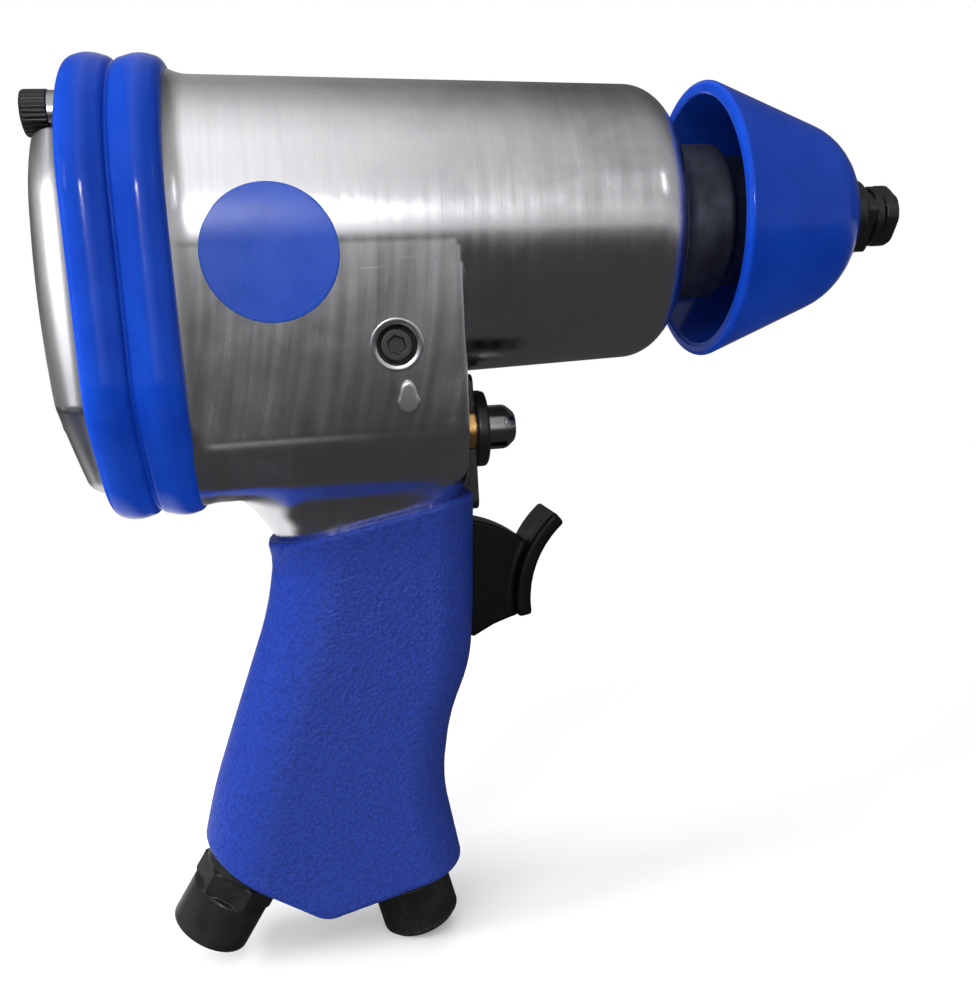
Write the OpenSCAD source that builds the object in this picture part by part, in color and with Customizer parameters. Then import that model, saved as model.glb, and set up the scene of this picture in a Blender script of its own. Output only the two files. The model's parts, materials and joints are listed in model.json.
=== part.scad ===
// Pistol-grip air impact wrench with a half inch square drive.
// +X runs forward along the drive axis, +Z is up, and the origin is on the drive axis
// at the shoulder of the square, where a socket seats.

/* [Drive] */
// Width across the flats of the square drive
drive_sq = 12.7; // [12.5:0.1:12.7]
// Length of the square in front of its shoulder
drive_len = 9; // [8.5:0.5:14]
// Angle at which the square is parked, as in the photograph
drive_turn = 37; // [0:1:89]
// Radius of the anvil's journal
anvil_r = 9.5; // [9.3:0.1:9.6]

/* [Barrel] */
// Radius of the barrel at the rear flange
barrel_rear_r = 32.9; // [32.5:0.1:34]
// Radius of the barrel where its front rounding starts
barrel_front_r = 29.9; // [29.5:0.1:30.5]
// Front face of the barrel
barrel_front_x = -49.2; // [-50:0.1:-48]
// Radius of the rounding at the barrel's front edge
barrel_round_r = 9; // [6:0.5:9]
// Radius of the cast flange on the nose
nose_flange_r = 17.2; // [16.5:0.1:18]
// Radius of the boss that carries the nose bumper
nose_boss_r = 14.5; // [14.3:0.1:14.8]

/* [Body] */
// Plane where the rear cover meets the housing
joint_x = -163; // [-163:0.5:-162]
// Back of the rear cover
cover_back_x = -178; // [-179:0.5:-177.5]
// Front face of the lower body, above the trigger
body_front_x = -98.6; // [-99:0.1:-98]
// Half width of the lower body at the axis
body_half = 31.2; // [30.5:0.1:31.4]
// How much narrower the lower body is at the crease
body_draft = 4.6; // [4:0.1:5]
// Height of the crease where the side turns under
crease_z = -43; // [-44:0.5:-42]
// Underside of the lower body
belly_z = -54.5; // [-55:0.5:-54]
// Half width of the rear flange
flange_half = 33.4; // [33:0.1:34.5]
// How far the rear flange stands above the axis
flange_top = 31.8; // [31.5:0.1:33]

/* [Handle] */
// Thickness of the rubber grip
grip_t = 2.4; // [2:0.1:3]
// Half thickness of the metal handle under the grip
handle_half = 14.2; // [13.8:0.1:14.6]
// Tilt of the air inlet from straight down, towards the back
inlet_tilt = 33; // [30:1:35]
// Tilt of the regulator from straight down, towards the front
regulator_tilt = 13; // [10:1:16]
// Wall radius of the quarter inch inlet thread
inlet_thread_r = 5.7; // [5.6:0.1:5.8]

/* [Trigger] */
// Half width of the finger plate
finger_half = 8.2; // [7:0.1:9]
// Travel of the reverse spool
reverse_travel = 5; // [4:0.5:5]

/* [Nose bumper] */
// Radius of the open rim
rim_r = 31.1; // [30.5:0.1:32]
// Plane of the open rim
rim_x = -39.3; // [-40:0.1:-38.5]
// Slope of the cone's straight side
cone_slope = 21.3; // [20:0.1:22]
// Thickness of the rim
rim_t = 3.3; // [2.5:0.1:4]

/* [Hidden] */
$fn = 64;

// Colours, as the photograph shows them
blue = "#1348c8";
aluminium = "#b9bbbd";
black = "#202124";
steel = "#8c9094";
brass = "#b58a3c";

// Room between pieces of one body, and running room
snug = 0.05;
running = 0.05;

// Stations along the drive axis, from the back to the front
flange_front_x = joint_x + 9;
gasket_t = 0.5;
rear_plate_front_x = joint_x + 8.8;
liner_back_x = joint_x + 8.9;
liner_front_x = liner_back_x + 40;
key_x = liner_back_x + 6;
key_r = 1.5;
front_plate_front_x = liner_front_x + 10;
motor_r = 27;
hammer_r = 25.3;
hammer_front_x = -57;
bush_r = 12.5;
cage_back_x = -102.8;
cage_front_x = -61.5;
cage_disc = 7.8;
cage_r = 24.7;
pin_z = 17.5;
pin_r = 3.5;
rotor_r = 17.5;
bore_r = 20.5;
bore_offset = 2.6;
vane_count = 6;
ball_count = 9;

// Cover screws as half width and height, the seat of their washers and the washers' thickness
screw_places = [[22.3, 21.2], [-22.3, 21.2], [19, -34], [-19, -34]];
screw_r = 2.5;
seat_x = joint_x - 8.2;
washer_t = 1.6;
head_len = 4.8;
pocket_r = 5.2;
pocket_half = 4.6;

// Rear bumper: stations from the joint, and how far each band stands out from the flange
band_x = [-8.1, -6.8, -0.8, 2.2, 8.4, 10.2];
band_out = [1.4, 2.8, 1.4, 2.5, 1];

// Label disc and oil plug on the side of the body, as X and Z
label_at = [-135.4, -6];
label_r = 12.9;
oil_at = [-112.7, -24.2];
oil_r = 3;
oil_floor_y = -26;

// Trigger, throttle and reverse valve
pivot_x = -103.6;
pivot_z = -90;
pivot_r = 1.5;
fan_c = [-101, -90];
fan_r = 25.8;
fan_half = 4.6;
fan_back_x = -101.5;
finger_c = [-60.7, -84.5];
finger_r = 23;
finger_t = 3.4;
slot_half = 5.2;
slot_back_x = -109.5;
slot_top_z = -62.5;
slot_foot_z = -97;
throttle_z = -78.5;
throttle_r = 2.2;
bush_back_x = -118;
valve_face_x = bush_back_x - 0.1;
throttle_bush_r = 6.5;
valve_plug_r = 8;
chamber_back_x = -134;
reverse_z = -44.2;
reverse_r = 5.1;
sleeve_t = 1.8;
sleeve_back_x = -131;
plate_front_x = -94.2;
plate_screw_z = [-34.4, -59];
plate_screw_r = 1.5;
plate_head_r = 2.2;
stop_pin_x = -104;
stop_pin_r = 1.5;
air_port_x = -114.5;
motor_ports = [-127, -119];
port_r = 2.4;

// Where the inlet and the regulator leave the foot of the handle
inlet_foot = [-152.2, -140.6];
regulator_foot = [-116.7, -146.9];
inlet_thread_len = 12;
inlet_out = 20.3;
inlet_shank_r = 7.8;
regulator_r = 4.5;
regulator_tip_r = 3;
regulator_pin_at = [-4.4, -9];
regulator_pin_r = 1.2;

// Handle outline: height, back edge, front edge and half thickness of the metal core
core_rows = [
  [-46, -151, body_front_x, 20],
  [-56, -145.5, body_front_x, 15.6],
  [-67, -138.1, -98.9, handle_half],
  [-82, -140.9, -99.7, handle_half],
  [-97, -146.7, -101.2, handle_half],
  [-107, -150.6, -106.3, handle_half],
  [-123, -156.6, -109.2, handle_half + 0.2],
  [-162, -167, -102.9, handle_half + 0.6]
];
back_corner = 10;
front_corner = 7;

// Arc points about c from angle a0 to a1 in n steps
function arc(c, r, a0, a1, n) =
  [for (i = [0:n]) let (a = a0 + (a1 - a0) * i / n) [c[0] + r * cos(a), c[1] + r * sin(a)]];
function unit(v) = v / norm(v);
// Arc that rounds the corner q between p and s
function corner(p, q, s, r, n) =
  let (u = unit(p - q), v = unit(s - q), half = acos(u * v) / 2)
  let (c = q + unit(u + v) * r / sin(half), a = q + u * r / tan(half), b = q + v * r / tan(half))
  let (a0 = atan2(a[1] - c[1], a[0] - c[0]), a1 = atan2(b[1] - c[1], b[0] - c[0]))
  let (turn = (a1 - a0 + 540) % 360 - 180)
  arc(c, r, a0, a0 + turn, n);
// Closed outline with each corner [x, y, radius] rounded
function rounded(pts, n = 6) =
  let (k = len(pts), flat = [for (p = pts) [p[0], p[1]]])
  [for (i = [0:k - 1]) each corner(flat[(i + k - 1) % k], flat[i], flat[(i + 1) % k], pts[i][2], n)];
function mirrored(pts) =
  concat(pts, [for (i = [len(pts) - 1:-1:0]) [-pts[i][0], pts[i][1], pts[i][2]]]);

// Rear flange outline grown by g
function flange_outline(g) = rounded(mirrored([
  [flange_half + g, flange_top + g, 27 + g],
  [flange_half + g, -34 - 0.34 * g, 18 + g],
  [18.5 + 0.5 * g, belly_z + 0.7 - g, 16 + g]
]));
// Lower body outline grown by g
function belly_outline(g) = rounded(mirrored([
  [body_half + g, 0, 0.5],
  [body_half - body_draft + g, crease_z, 5],
  [19.5 + g, belly_z - g, 9]
]));

// Placement helpers
module along_x(x0, x1) translate([x0, 0, 0]) rotate([90, 0, 90]) linear_extrude(x1 - x0) children();
module along_y(half) rotate([90, 0, 0]) linear_extrude(2 * half, center = true) children();
module turned(pts) rotate([0, 90, 0]) rotate_extrude() polygon([for (p = pts) [p[1], p[0]]]);
module rod(x0, x1, r, y = 0, z = 0) translate([x0, y, z]) rotate([0, 90, 0]) cylinder(h = x1 - x0, r = r);
module upright(x, z0, z1, r, y = 0) translate([x, y, z0]) cylinder(h = z1 - z0, r = r);
module cross_rod(x, z, half, r) translate([x, 0, z]) rotate([90, 0, 0])
  cylinder(h = 2 * half, r = r, center = true);
module ring(x0, x1, outer, inner, y = 0, z = 0) difference() {
  rod(x0, x1, outer, y, z);
  rod(x0 - 1, x1 + 1, inner, y, z);
}
module oring(x, r, wire, z = 0) translate([x, 0, z]) rotate([0, 90, 0]) rotate_extrude()
  translate([r, 0]) circle(r = wire);
// Frames of the inlet and the regulator: +Z points out of the handle's foot
module at_inlet() translate([inlet_foot[0], 0, inlet_foot[1]]) rotate([0, 180 + inlet_tilt, 0]) children();
module at_regulator() translate([regulator_foot[0], 0, regulator_foot[1]])
  rotate([0, 180 - regulator_tilt, 0]) children();
module at_regulator_pin() at_regulator() translate([regulator_pin_at[0], 0, regulator_pin_at[1]])
  rotate([90, 0, 0]) children();
module at_trigger_pin() translate([pivot_x, 0, pivot_z]) children();
module at_oil_plug(y) translate([oil_at[0], y, oil_at[1]]) rotate([90, 0, 0]) children();

// Barrel, belly and handle, which the housing, the grip and the label share
module barrel(g = 0) turned(concat(
  [[flange_front_x - 0.5, 0], [flange_front_x - 0.5, barrel_rear_r + g]],
  arc([barrel_front_x - barrel_round_r, barrel_front_r - barrel_round_r], barrel_round_r + g, 90, 0, 8),
  [[barrel_front_x + g, 0]]
));
module belly(g = 0) along_x(flange_front_x - 0.5, body_front_x + g) polygon(belly_outline(g));
module handle_slab(row, g) for (side = [-1, 1]) {
  translate([row[1] - g + back_corner, side * (row[3] + g - back_corner), row[0]])
    cylinder(h = 0.01, r = back_corner, $fn = 32);
  translate([row[2] + g - front_corner, side * (row[3] + g - front_corner), row[0]])
    cylinder(h = 0.01, r = front_corner, $fn = 32);
}
module handle_bar(g = 0, first = 0) for (i = [first:len(core_rows) - 2]) hull() {
  handle_slab(core_rows[i], g);
  handle_slab(core_rows[i + 1], g);
}
module foot_cut() {
  at_inlet() translate([-60, -30, 0]) cube([120, 60, 60]);
  at_regulator() translate([-60, -30, 0]) cube([120, 60, 60]);
}

// Castings and covers
module housing() color(aluminium) difference() {
  union() {
    barrel();
    belly();
    along_x(joint_x, flange_front_x) polygon(flange_outline(0));
    turned([[barrel_front_x - 8, 0], [barrel_front_x - 8, nose_flange_r], [-37, nose_flange_r],
      [-36, nose_flange_r - 1], [-36, nose_boss_r], [-11, nose_boss_r], [-11, nose_boss_r - 0.8],
      [-9, nose_boss_r - 0.8], [-9, nose_boss_r], [-6, nose_boss_r], [-6, 0]]);
    difference() {
      handle_bar();
      foot_cut();
    }
  }
  motor_hollows();
  valve_hollows();
  handle_passages();
}
module motor_hollows() {
  rod(joint_x - 1, front_plate_front_x, motor_r);
  rod(front_plate_front_x - 1, hammer_front_x, hammer_r);
  rod(hammer_front_x - 1, 0, bush_r);
  for (p = screw_places) rod(joint_x - 1, flange_front_x - 1, screw_r + snug, p[0], p[1]);
  upright(key_x, motor_r - 1, motor_r + 1.6, key_r + snug);
  at_oil_plug(0) cylinder(h = 40, r = oil_r / 2);
  at_oil_plug(oil_floor_y + 6) cylinder(h = 20, r = oil_r + snug);
  at_oil_plug(oil_floor_y) cylinder(h = 20, r = oil_r + 1.5);
}
module valve_hollows() {
  translate([slot_back_x, -slot_half, slot_foot_z])
    cube([-slot_back_x - 60, 2 * slot_half, slot_top_z - slot_foot_z]);
  cross_rod(pivot_x, pivot_z, handle_half - 3.5, pivot_r + snug);
  rod(bush_back_x - 1, slot_back_x + 1, throttle_bush_r + snug, 0, throttle_z);
  rod(chamber_back_x, bush_back_x, throttle_bush_r + 0.7, 0, throttle_z);
  rod(-160, chamber_back_x + 0.1, valve_plug_r + snug, 0, throttle_z);
  upright(air_port_x, throttle_z + 5, reverse_z - 6, 3);
  rod(sleeve_back_x - 0.2, -60, reverse_r + sleeve_t + snug, 0, reverse_z);
  upright(stop_pin_x, -58, reverse_z, stop_pin_r + snug);
  for (x = motor_ports) upright(x, reverse_z + 6, -24, port_r);
  for (z = plate_screw_z) rod(body_front_x - 8, -60, plate_screw_r + snug, 0, z);
}
module handle_passages() {
  at_inlet() translate([0, 0, -14]) cylinder(h = 20, r = inlet_shank_r + 0.1);
  at_inlet() translate([0, 0, -50]) cylinder(h = 40, r = 5);
  upright(-126, -100, throttle_z, 4.5);
  at_regulator() translate([0, 0, -50]) cylinder(h = 60, r = regulator_r + running);
  at_regulator_pin() cylinder(h = 40, r = regulator_pin_r + snug, center = true);
  for (side = [-1, 1]) exhaust_run(side, 2.5, 0, 130);
}
// Exhaust bores on both sides of the valve chamber, from the motor to the foot
module exhaust_run(side, r, from, to) translate([-128, side * 10.4, -22]) rotate([0, 183, 0])
  translate([0, 0, from]) cylinder(h = to - from, r = r);

module rear_cover() color(aluminium) difference() {
  union() {
    along_x(joint_x - 7, joint_x - gasket_t - 0.02) polygon(flange_outline(0));
    along_x(joint_x - 12, joint_x - 7) polygon(flange_outline(-2.6));
    along_x(cover_back_x + 1.4, joint_x - 12) polygon(flange_outline(-3.8));
    along_x(cover_back_x, cover_back_x + 1.4) polygon(flange_outline(-5.4));
  }
  rod(cover_back_x + 4, 0, 23);
  along_x(cover_back_x + 4, 0) translate([-12, -46]) square([24, 46]);
  for (p = screw_places) {
    rod(cover_back_x - 1, 0, screw_r + 0.25, p[0], p[1]);
    rod(cover_back_x - 1, seat_x, pocket_r, p[0], p[1]);
    if (p[1] > 0) translate([cover_back_x - 1, p[0] - pocket_half, p[1]])
      cube([seat_x - cover_back_x + 0.5, 2 * pocket_half, 30]);
  }
}
module rear_gasket() color("#4a4338") difference() {
  along_x(joint_x - gasket_t, joint_x - 0.02) polygon(flange_outline(-0.4));
  rod(joint_x - 2, 0, motor_r);
  for (p = screw_places) rod(joint_x - 2, 0, screw_r + 0.25, p[0], p[1]);
}
module cover_screws() color(black) for (p = screw_places) difference() {
  union() {
    rod(seat_x - washer_t - head_len, seat_x - washer_t, 4.2, p[0], p[1]);
    rod(seat_x - washer_t, flange_front_x - 1.5, screw_r, p[0], p[1]);
  }
  translate([seat_x - washer_t - head_len - 0.4, p[0], p[1]]) rotate([0, 90, 0])
    cylinder(h = 3, r = 2.3, $fn = 6);
}
module spring_washers() color(steel) for (p = screw_places) difference() {
  ring(seat_x - washer_t + snug, seat_x - snug, 4, screw_r + 0.1, p[0], p[1]);
  translate([seat_x - 4, p[0] + 1, p[1] - 0.5]) cube([10, 6, 1]);
}
module rear_bumper() color(blue) difference() {
  for (i = [0:len(band_out) - 1])
    along_x(joint_x + band_x[i], joint_x + band_x[i + 1]) polygon(flange_outline(band_out[i]));
  along_x(joint_x - 17, joint_x + 3) polygon(flange_outline(-2.55));
  along_x(joint_x - 7.05, flange_front_x + snug) polygon(flange_outline(snug));
  rod(flange_front_x - 1, -140, barrel_rear_r + 0.1);
  along_x(flange_front_x - 1, -140) polygon(belly_outline(0.4));
  for (p = screw_places) rod(joint_x - 17, joint_x - 6.9, screw_r + 0.5, p[0], p[1]);
}

// Nose bumper: a straight cone that curves in to the front face
cone_arc_r = 16.5;
cone_run = 25.7;
cone_end = [rim_x + cone_run, rim_r - cone_run * tan(cone_slope)];
cone_arc_c = [cone_end[0] - cone_arc_r * sin(cone_slope), cone_end[1] - cone_arc_r * cos(cone_slope)];
module nose_bumper() color(blue) turned(concat(
  [[-15, nose_boss_r + snug], [-15, 18.4], [rim_x, rim_r - rim_t], [rim_x, rim_r]],
  arc(cone_arc_c, cone_arc_r, 90 - cone_slope, 16, 8),
  [[cone_arc_c[0] + cone_arc_r * cos(16), 9.9], [-5.9, 9.9], [-5.9, nose_boss_r + snug],
    [-9.1, nose_boss_r + snug], [-9.1, nose_boss_r - 0.7], [-10.9, nose_boss_r - 0.7],
    [-10.9, nose_boss_r + snug]]
));

module handle_grip() color(blue) difference() {
  handle_bar(grip_t, 1);
  handle_bar(snug, 1);
  foot_cut();
  translate([-140, 0, -65.5]) rotate([0, -11.3, 0]) translate([-60, -50, 0]) cube([140, 100, 60]);
  translate([-112, -6.4, slot_foot_z - 0.6]) cube([40, 12.8, 60]);
  belly(0.1);
}
module label_disc() color(blue) intersection() {
  translate([label_at[0], 0, label_at[1]]) rotate([90, 0, 0]) cylinder(h = 60, r = label_r);
  difference() {
    union() {
      barrel(0.4);
      belly(0.4);
    }
    barrel(snug);
    belly(snug);
  }
}
module oil_plug() color(black) at_oil_plug(oil_floor_y + 5) difference() {
  union() {
    cylinder(h = 5.4, r = oil_r);
    translate([0, 0, 5.4]) cylinder(h = 2.2, r = oil_r + 0.6);
  }
  translate([0, 0, 5.2]) cylinder(h = 3, r = 1.9, $fn = 6);
}
module oil_plug_washer() color(black) at_oil_plug(oil_floor_y - 0.02) difference() {
  cylinder(h = 0.35, r = oil_r + 1.2);
  translate([0, 0, -1]) cylinder(h = 3, r = oil_r + 0.1);
}

// Trigger and throttle
module trigger() color(black) difference() {
  union() {
    along_y(fan_half) polygon(concat(
      arc(fan_c, fan_r, 45, 91, 8),
      [[fan_back_x, pivot_z + 20], [fan_back_x, pivot_z], [-97, -92.3], [-92, -89.8],
        [-87, -88.2], [-84.6, -80]]));
    at_trigger_pin() rotate([90, 0, 0]) cylinder(h = 2 * fan_half, r = 4, center = true);
    along_y(finger_half) polygon(concat(
      arc(finger_c, finger_r, 128.5, 187, 10),
      arc(finger_c, finger_r + finger_t, 187, 128.5, 10)));
  }
  cross_rod(pivot_x, pivot_z, 20, pivot_r + running);
}
module trigger_pin() color(steel) cross_rod(pivot_x, pivot_z, handle_half - 3.7, pivot_r);
module throttle_stem() color(steel) {
  rod(valve_face_x, fan_back_x - 2.6, throttle_r, 0, throttle_z);
  translate([fan_back_x - 2.6, 0, throttle_z]) sphere(r = throttle_r);
  rod(valve_face_x - 2.9, valve_face_x, 5.4, 0, throttle_z);
  rod(valve_face_x - 7.9, valve_face_x - 2.9, 1.6, 0, throttle_z);
}
spring_turns = 5;
spring_wire = 0.45;
spring_coil_r = 3.2;
spring_from = -133.3;
spring_len = 11.8;
spring_sides = 6;
spring_rings = 8;
// Wire centre at t turns, and the tube's rings around it
function spring_at(t) = [spring_from + spring_len * t / spring_turns, spring_coil_r * cos(360 * t),
  throttle_z + spring_coil_r * sin(360 * t)];
function spring_ring(t) = [for (k = [0:spring_sides - 1])
  let (a = 360 * k / spring_sides, r = spring_coil_r + spring_wire * cos(a))
  [spring_at(t)[0] + spring_wire * sin(a), r * cos(360 * t), throttle_z + r * sin(360 * t)]];
spring_steps = spring_turns * spring_rings;
module throttle_spring() color(steel) polyhedron(
  points = [for (i = [0:spring_steps]) each spring_ring(i / spring_rings)],
  faces = concat(
    [for (k = [1:spring_sides - 2]) [0, k, k + 1]],
    [for (k = [1:spring_sides - 2]) let (b = spring_steps * spring_sides) [b, b + k + 1, b + k]],
    [for (i = [0:spring_steps - 1], k = [0:spring_sides - 1])
      let (n = (k + 1) % spring_sides, a = i * spring_sides, b = a + spring_sides)
      each [[a + k, b + k, b + n], [a + k, b + n, a + n]]]));
spring_gap = min([for (i = [0:spring_steps - spring_rings])
  norm(spring_at((i + spring_rings) / spring_rings) - spring_at(i / spring_rings))]) - 2 * spring_wire;
echo(throttle_spring_gap = spring_gap);
module throttle_bush() color(brass) difference() {
  rod(bush_back_x, slot_back_x - 0.3, throttle_bush_r, 0, throttle_z);
  rod(bush_back_x - 1, slot_back_x, throttle_r + running, 0, throttle_z);
  rod(bush_back_x - 1, bush_back_x + 6, 4.2, 0, throttle_z);
  upright(air_port_x, throttle_z, throttle_z + 10, 2.5);
}
module valve_plug() color(brass) difference() {
  rod(chamber_back_x - 4.4, chamber_back_x, valve_plug_r, 0, throttle_z);
  translate([chamber_back_x - 5, 0, throttle_z]) rotate([0, 90, 0]) cylinder(h = 3, r = 3, $fn = 6);
}

// Reverse valve
spool_end_x = -86.6;
module reverse_spool() color(steel) difference() {
  translate([0, 0, reverse_z]) turned([[-125, 0], [-125, reverse_r], [-123.7, reverse_r],
    [-123.7, 3.9], [-121.5, 3.9], [-121.5, reverse_r], [-120, reverse_r], [-119, 3.2],
    [-113, 3.2], [-112, reverse_r], [spool_end_x, reverse_r], [spool_end_x + 2, 3.4],
    [spool_end_x + 2.4, 0]]);
  translate([stop_pin_x - 1.8, -1.8, reverse_z - 10]) cube([reverse_travel + 3.6, 3.6, 7.5]);
}
module reverse_oring() color(black) oring(-122.6, 4.5, 0.58, reverse_z);
module reverse_sleeve() color(brass) difference() {
  ring(sleeve_back_x, plate_front_x, reverse_r + sleeve_t, reverse_r + running, 0, reverse_z);
  upright(stop_pin_x, -58, reverse_z, stop_pin_r + snug);
  upright(air_port_x, reverse_z - 10, reverse_z, 3);
  for (x = motor_ports) upright(x, reverse_z, reverse_z + 10, port_r);
}
module reverse_plate() color(black) difference() {
  union() {
    along_x(body_front_x + snug, plate_front_x)
      polygon(rounded([[6, -31.6, 4], [6, -62.2, 2], [-6, -62.2, 2], [-6, -31.6, 4]]));
    translate([plate_front_x, 0, reverse_z]) turned([[0, 0], [0, 8.8], [2.2, 8.8], [3, 8], [3, 0]]);
  }
  rod(-100, plate_front_x + 0.02, reverse_r + sleeve_t + 0.1, 0, reverse_z);
  rod(-100, -80, reverse_r + running, 0, reverse_z);
  for (z = plate_screw_z) {
    rod(-100, -80, plate_screw_r + 0.2, 0, z);
    rod(plate_front_x - 1.5, -80, plate_head_r + 0.1, 0, z);
  }
}
module plate_screws() color(steel) for (z = plate_screw_z) difference() {
  union() {
    rod(body_front_x - 6, plate_front_x - 1.3, plate_screw_r, 0, z);
    rod(plate_front_x - 1.4, plate_front_x - 0.2, plate_head_r, 0, z);
  }
  translate([plate_front_x - 0.9, 0, z]) rotate([0, 90, 0]) cylinder(h = 3, r = 1.2, $fn = 6);
}
module reverse_stop_pin() color(steel) upright(stop_pin_x, -54, reverse_z - 3, stop_pin_r);

// Air inlet and regulator, drawn along their own axes
module inlet_bushing() color(black) at_inlet() difference() {
  union() {
    translate([0, 0, -13]) cylinder(h = 14, r = inlet_shank_r);
    translate([0, 0, 1]) cylinder(h = 3, r = 9.1);
    translate([0, 0, 3.6]) rotate([0, 0, 12]) cylinder(h = 6.2, r = 17 / sqrt(3), $fn = 6);
    rotate_extrude() polygon([[0, 9.4], [9.3, 9.4], [9.3, inlet_out - 1], [8.4, inlet_out], [0, inlet_out]]);
  }
  translate([0, 0, -20]) cylinder(h = 60, r = 4);
  translate([0, 0, -13.5]) cylinder(h = 8, r = 5.2);
  translate([0, 0, inlet_out - inlet_thread_len]) cylinder(h = 20, r = inlet_thread_r);
}
module inlet_washer() color(black) at_inlet() translate([0, 0, 0.05]) difference() {
  cylinder(h = 0.9, r = 9.2);
  translate([0, 0, -1]) cylinder(h = 4, r = inlet_shank_r + 0.1);
}
module inlet_screen() color(steel) at_inlet() difference() {
  translate([0, 0, -12.5]) cylinder(h = 6.9, r = 5.1);
  translate([0, 0, -11.9]) cylinder(h = 10, r = 4.4);
  for (i = [0:5]) rotate([0, 0, 60 * i]) translate([2.6, 0, -14]) cylinder(h = 5, r = 0.8);
  translate([0, 0, -14]) cylinder(h = 5, r = 0.8);
}
module regulator_knob() color(black) at_regulator() difference() {
  rotate_extrude() polygon([[0, 0.3], [7.4, 0.3], [7.4, 3.4], [9.2, 4.2], [9.2, 15], [8, 16.3], [0, 16.3]]);
  translate([0, 0, -1]) cylinder(h = 11, r = regulator_tip_r + snug);
}
module regulator_stem() color(steel) at_regulator() difference() {
  union() {
    translate([0, 0, -48]) cylinder(h = 48, r = regulator_r);
    translate([0, 0, -0.1]) cylinder(h = 9.8, r = regulator_tip_r);
  }
  translate([0, -10, -52]) cube([10, 20, 14]);
  translate([0, 0, -10.3]) rotate_extrude() translate([3.1, 0]) square([4, 2.6]);
  translate([0, 0, -5.6]) rotate_extrude() translate([3.5, 0]) square([4, 1.6]);
}
module regulator_oring() color(black) at_regulator() translate([0, 0, -4.8]) rotate_extrude()
  translate([4, 0]) circle(r = 0.5);
module regulator_pin() color(steel) at_regulator_pin() cylinder(h = 22, r = regulator_pin_r, center = true);

// Anvil and its bearing
module anvil() color(black) difference() {
  union() {
    rod(-97.9, -94, 6);
    rod(-94.6, -60.9, 8.5);
    rod(-69.8, -60.9, 10);
    along_x(-93.8, -70.4) intersection() {
      circle(r = 12);
      square([7, 30], center = true);
    }
    rod(-61, -58.9, 12.4);
    rod(-59, -3, anvil_r);
    rod(-3.5, 0, 8.9);
    intersection() {
      rotate([drive_turn, 0, 0]) along_x(-1, drive_len) square(drive_sq, center = true);
      turned([[-1, 0], [-1, 8.3], [drive_len - 4.2, 8.3], [drive_len - 3.8, 7], [drive_len - 0.8, 7],
        [drive_len, 6.2], [drive_len, 0]]);
    }
  }
  turned([[friction_x - 1.2, 4.4], [friction_x - 1.2, 12], [friction_x + 1.2, 12], [friction_x + 1.2, 4.4]]);
}
friction_x = 4.3;
module friction_ring() color(steel) difference() {
  ring(friction_x - 1, friction_x + 1, 6.9, 5.8);
  translate([friction_x - 5, -1, 0]) cube([10, 2, 20]);
}
module friction_oring() color(black) oring(friction_x, 5.08, 0.62);
module anvil_bush() color(brass) ring(hammer_front_x + snug, -9.2, bush_r - snug, anvil_r + running);
module nose_seal() color(black) ring(-9, -6.1, bush_r - snug, anvil_r + 0.1);
module thrust_washer() color(brass) ring(-58.75, hammer_front_x - 0.2, 12.2, anvil_r + 0.2);

// Hammer mechanism
module hammer_cage() color(steel) difference() {
  union() {
    rod(cage_back_x, cage_back_x + cage_disc, cage_r);
    rod(cage_front_x - cage_disc, cage_front_x, cage_r);
    intersection() {
      rod(cage_back_x, cage_front_x, cage_r);
      for (side = [-1, 1]) translate([-90, side * 29, 0]) cube([90, 21, 60], center = true);
    }
  }
  translate([-103.5, 0, 0]) rotate([0, 90, 0]) cylinder(h = 5.2, r = 5.2, $fn = 6);
  rod(-98.4, -90, 6.3);
  rod(-75, -50, 10.4);
  for (z = [-pin_z, pin_z]) rod(cage_back_x + 1.5, cage_front_x + 1, pin_r + snug, 0, z);
}
module hammer_pins() color(steel) for (z = [-pin_z, pin_z])
  rod(cage_back_x + 1.7, cage_front_x - 0.5, pin_r, 0, z);
// C-shaped dog that rocks on the pin at the side given, and straddles the other pin
module dog(x0, x1, side) difference() {
  along_x(x0, x1) intersection() {
    circle(r = 21.5);
    square([30, 60], center = true);
  }
  rod(x0 - 1, x1 + 1, 13.6);
  translate([x0 - 1, -7.4, side > 0 ? -40 : 13]) cube([x1 - x0 + 2, 14.8, 27]);
  rod(x0 - 1, x1 + 1, pin_r + running, 0, side * pin_z);
}
module rear_dog() color(steel) dog(cage_back_x + cage_disc + 0.3, -82.5, 1);
module front_dog() color(steel) dog(-82.1, cage_front_x - cage_disc - 0.3, -1);

// Air motor
module rotor() color(steel) difference() {
  union() {
    rod(liner_back_x + 0.2, liner_front_x - 0.2, rotor_r);
    rod(joint_x + 0.8, liner_front_x, 5);
    rod(liner_front_x - 1, -103.2, 6);
    translate([-103.3, 0, 0]) rotate([0, 90, 0]) cylinder(h = 4.6, r = 5, $fn = 6);
  }
  for (i = [0:vane_count - 1]) rotate([360 / vane_count * i, 0, 0])
    translate([liner_back_x - 1, -1.5, 9]) cube([45, 3, 20]);
}
module rotor_vanes() color("#3a2f24") for (i = [0:vane_count - 1]) rotate([360 / vane_count * i, 0, 0])
  translate([liner_back_x + 0.3, -1.4, 9.3]) cube([39.4, 2.8, 8.3]);
module cylinder_liner() color(steel) difference() {
  rod(liner_back_x, liner_front_x, motor_r - 0.08);
  rod(liner_back_x - 1, liner_front_x + 1, bore_r, 0, bore_offset);
  for (x = motor_ports) upright(x, -30, -10, port_r);
  for (x = [-146, -138, -130], side = [-1, 1]) translate([x, 0, 0]) rotate([90 + side * 60, 0, 0])
    cylinder(h = 30, r = 2);
  upright(key_x, 20, 30, key_r + snug);
}
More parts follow.
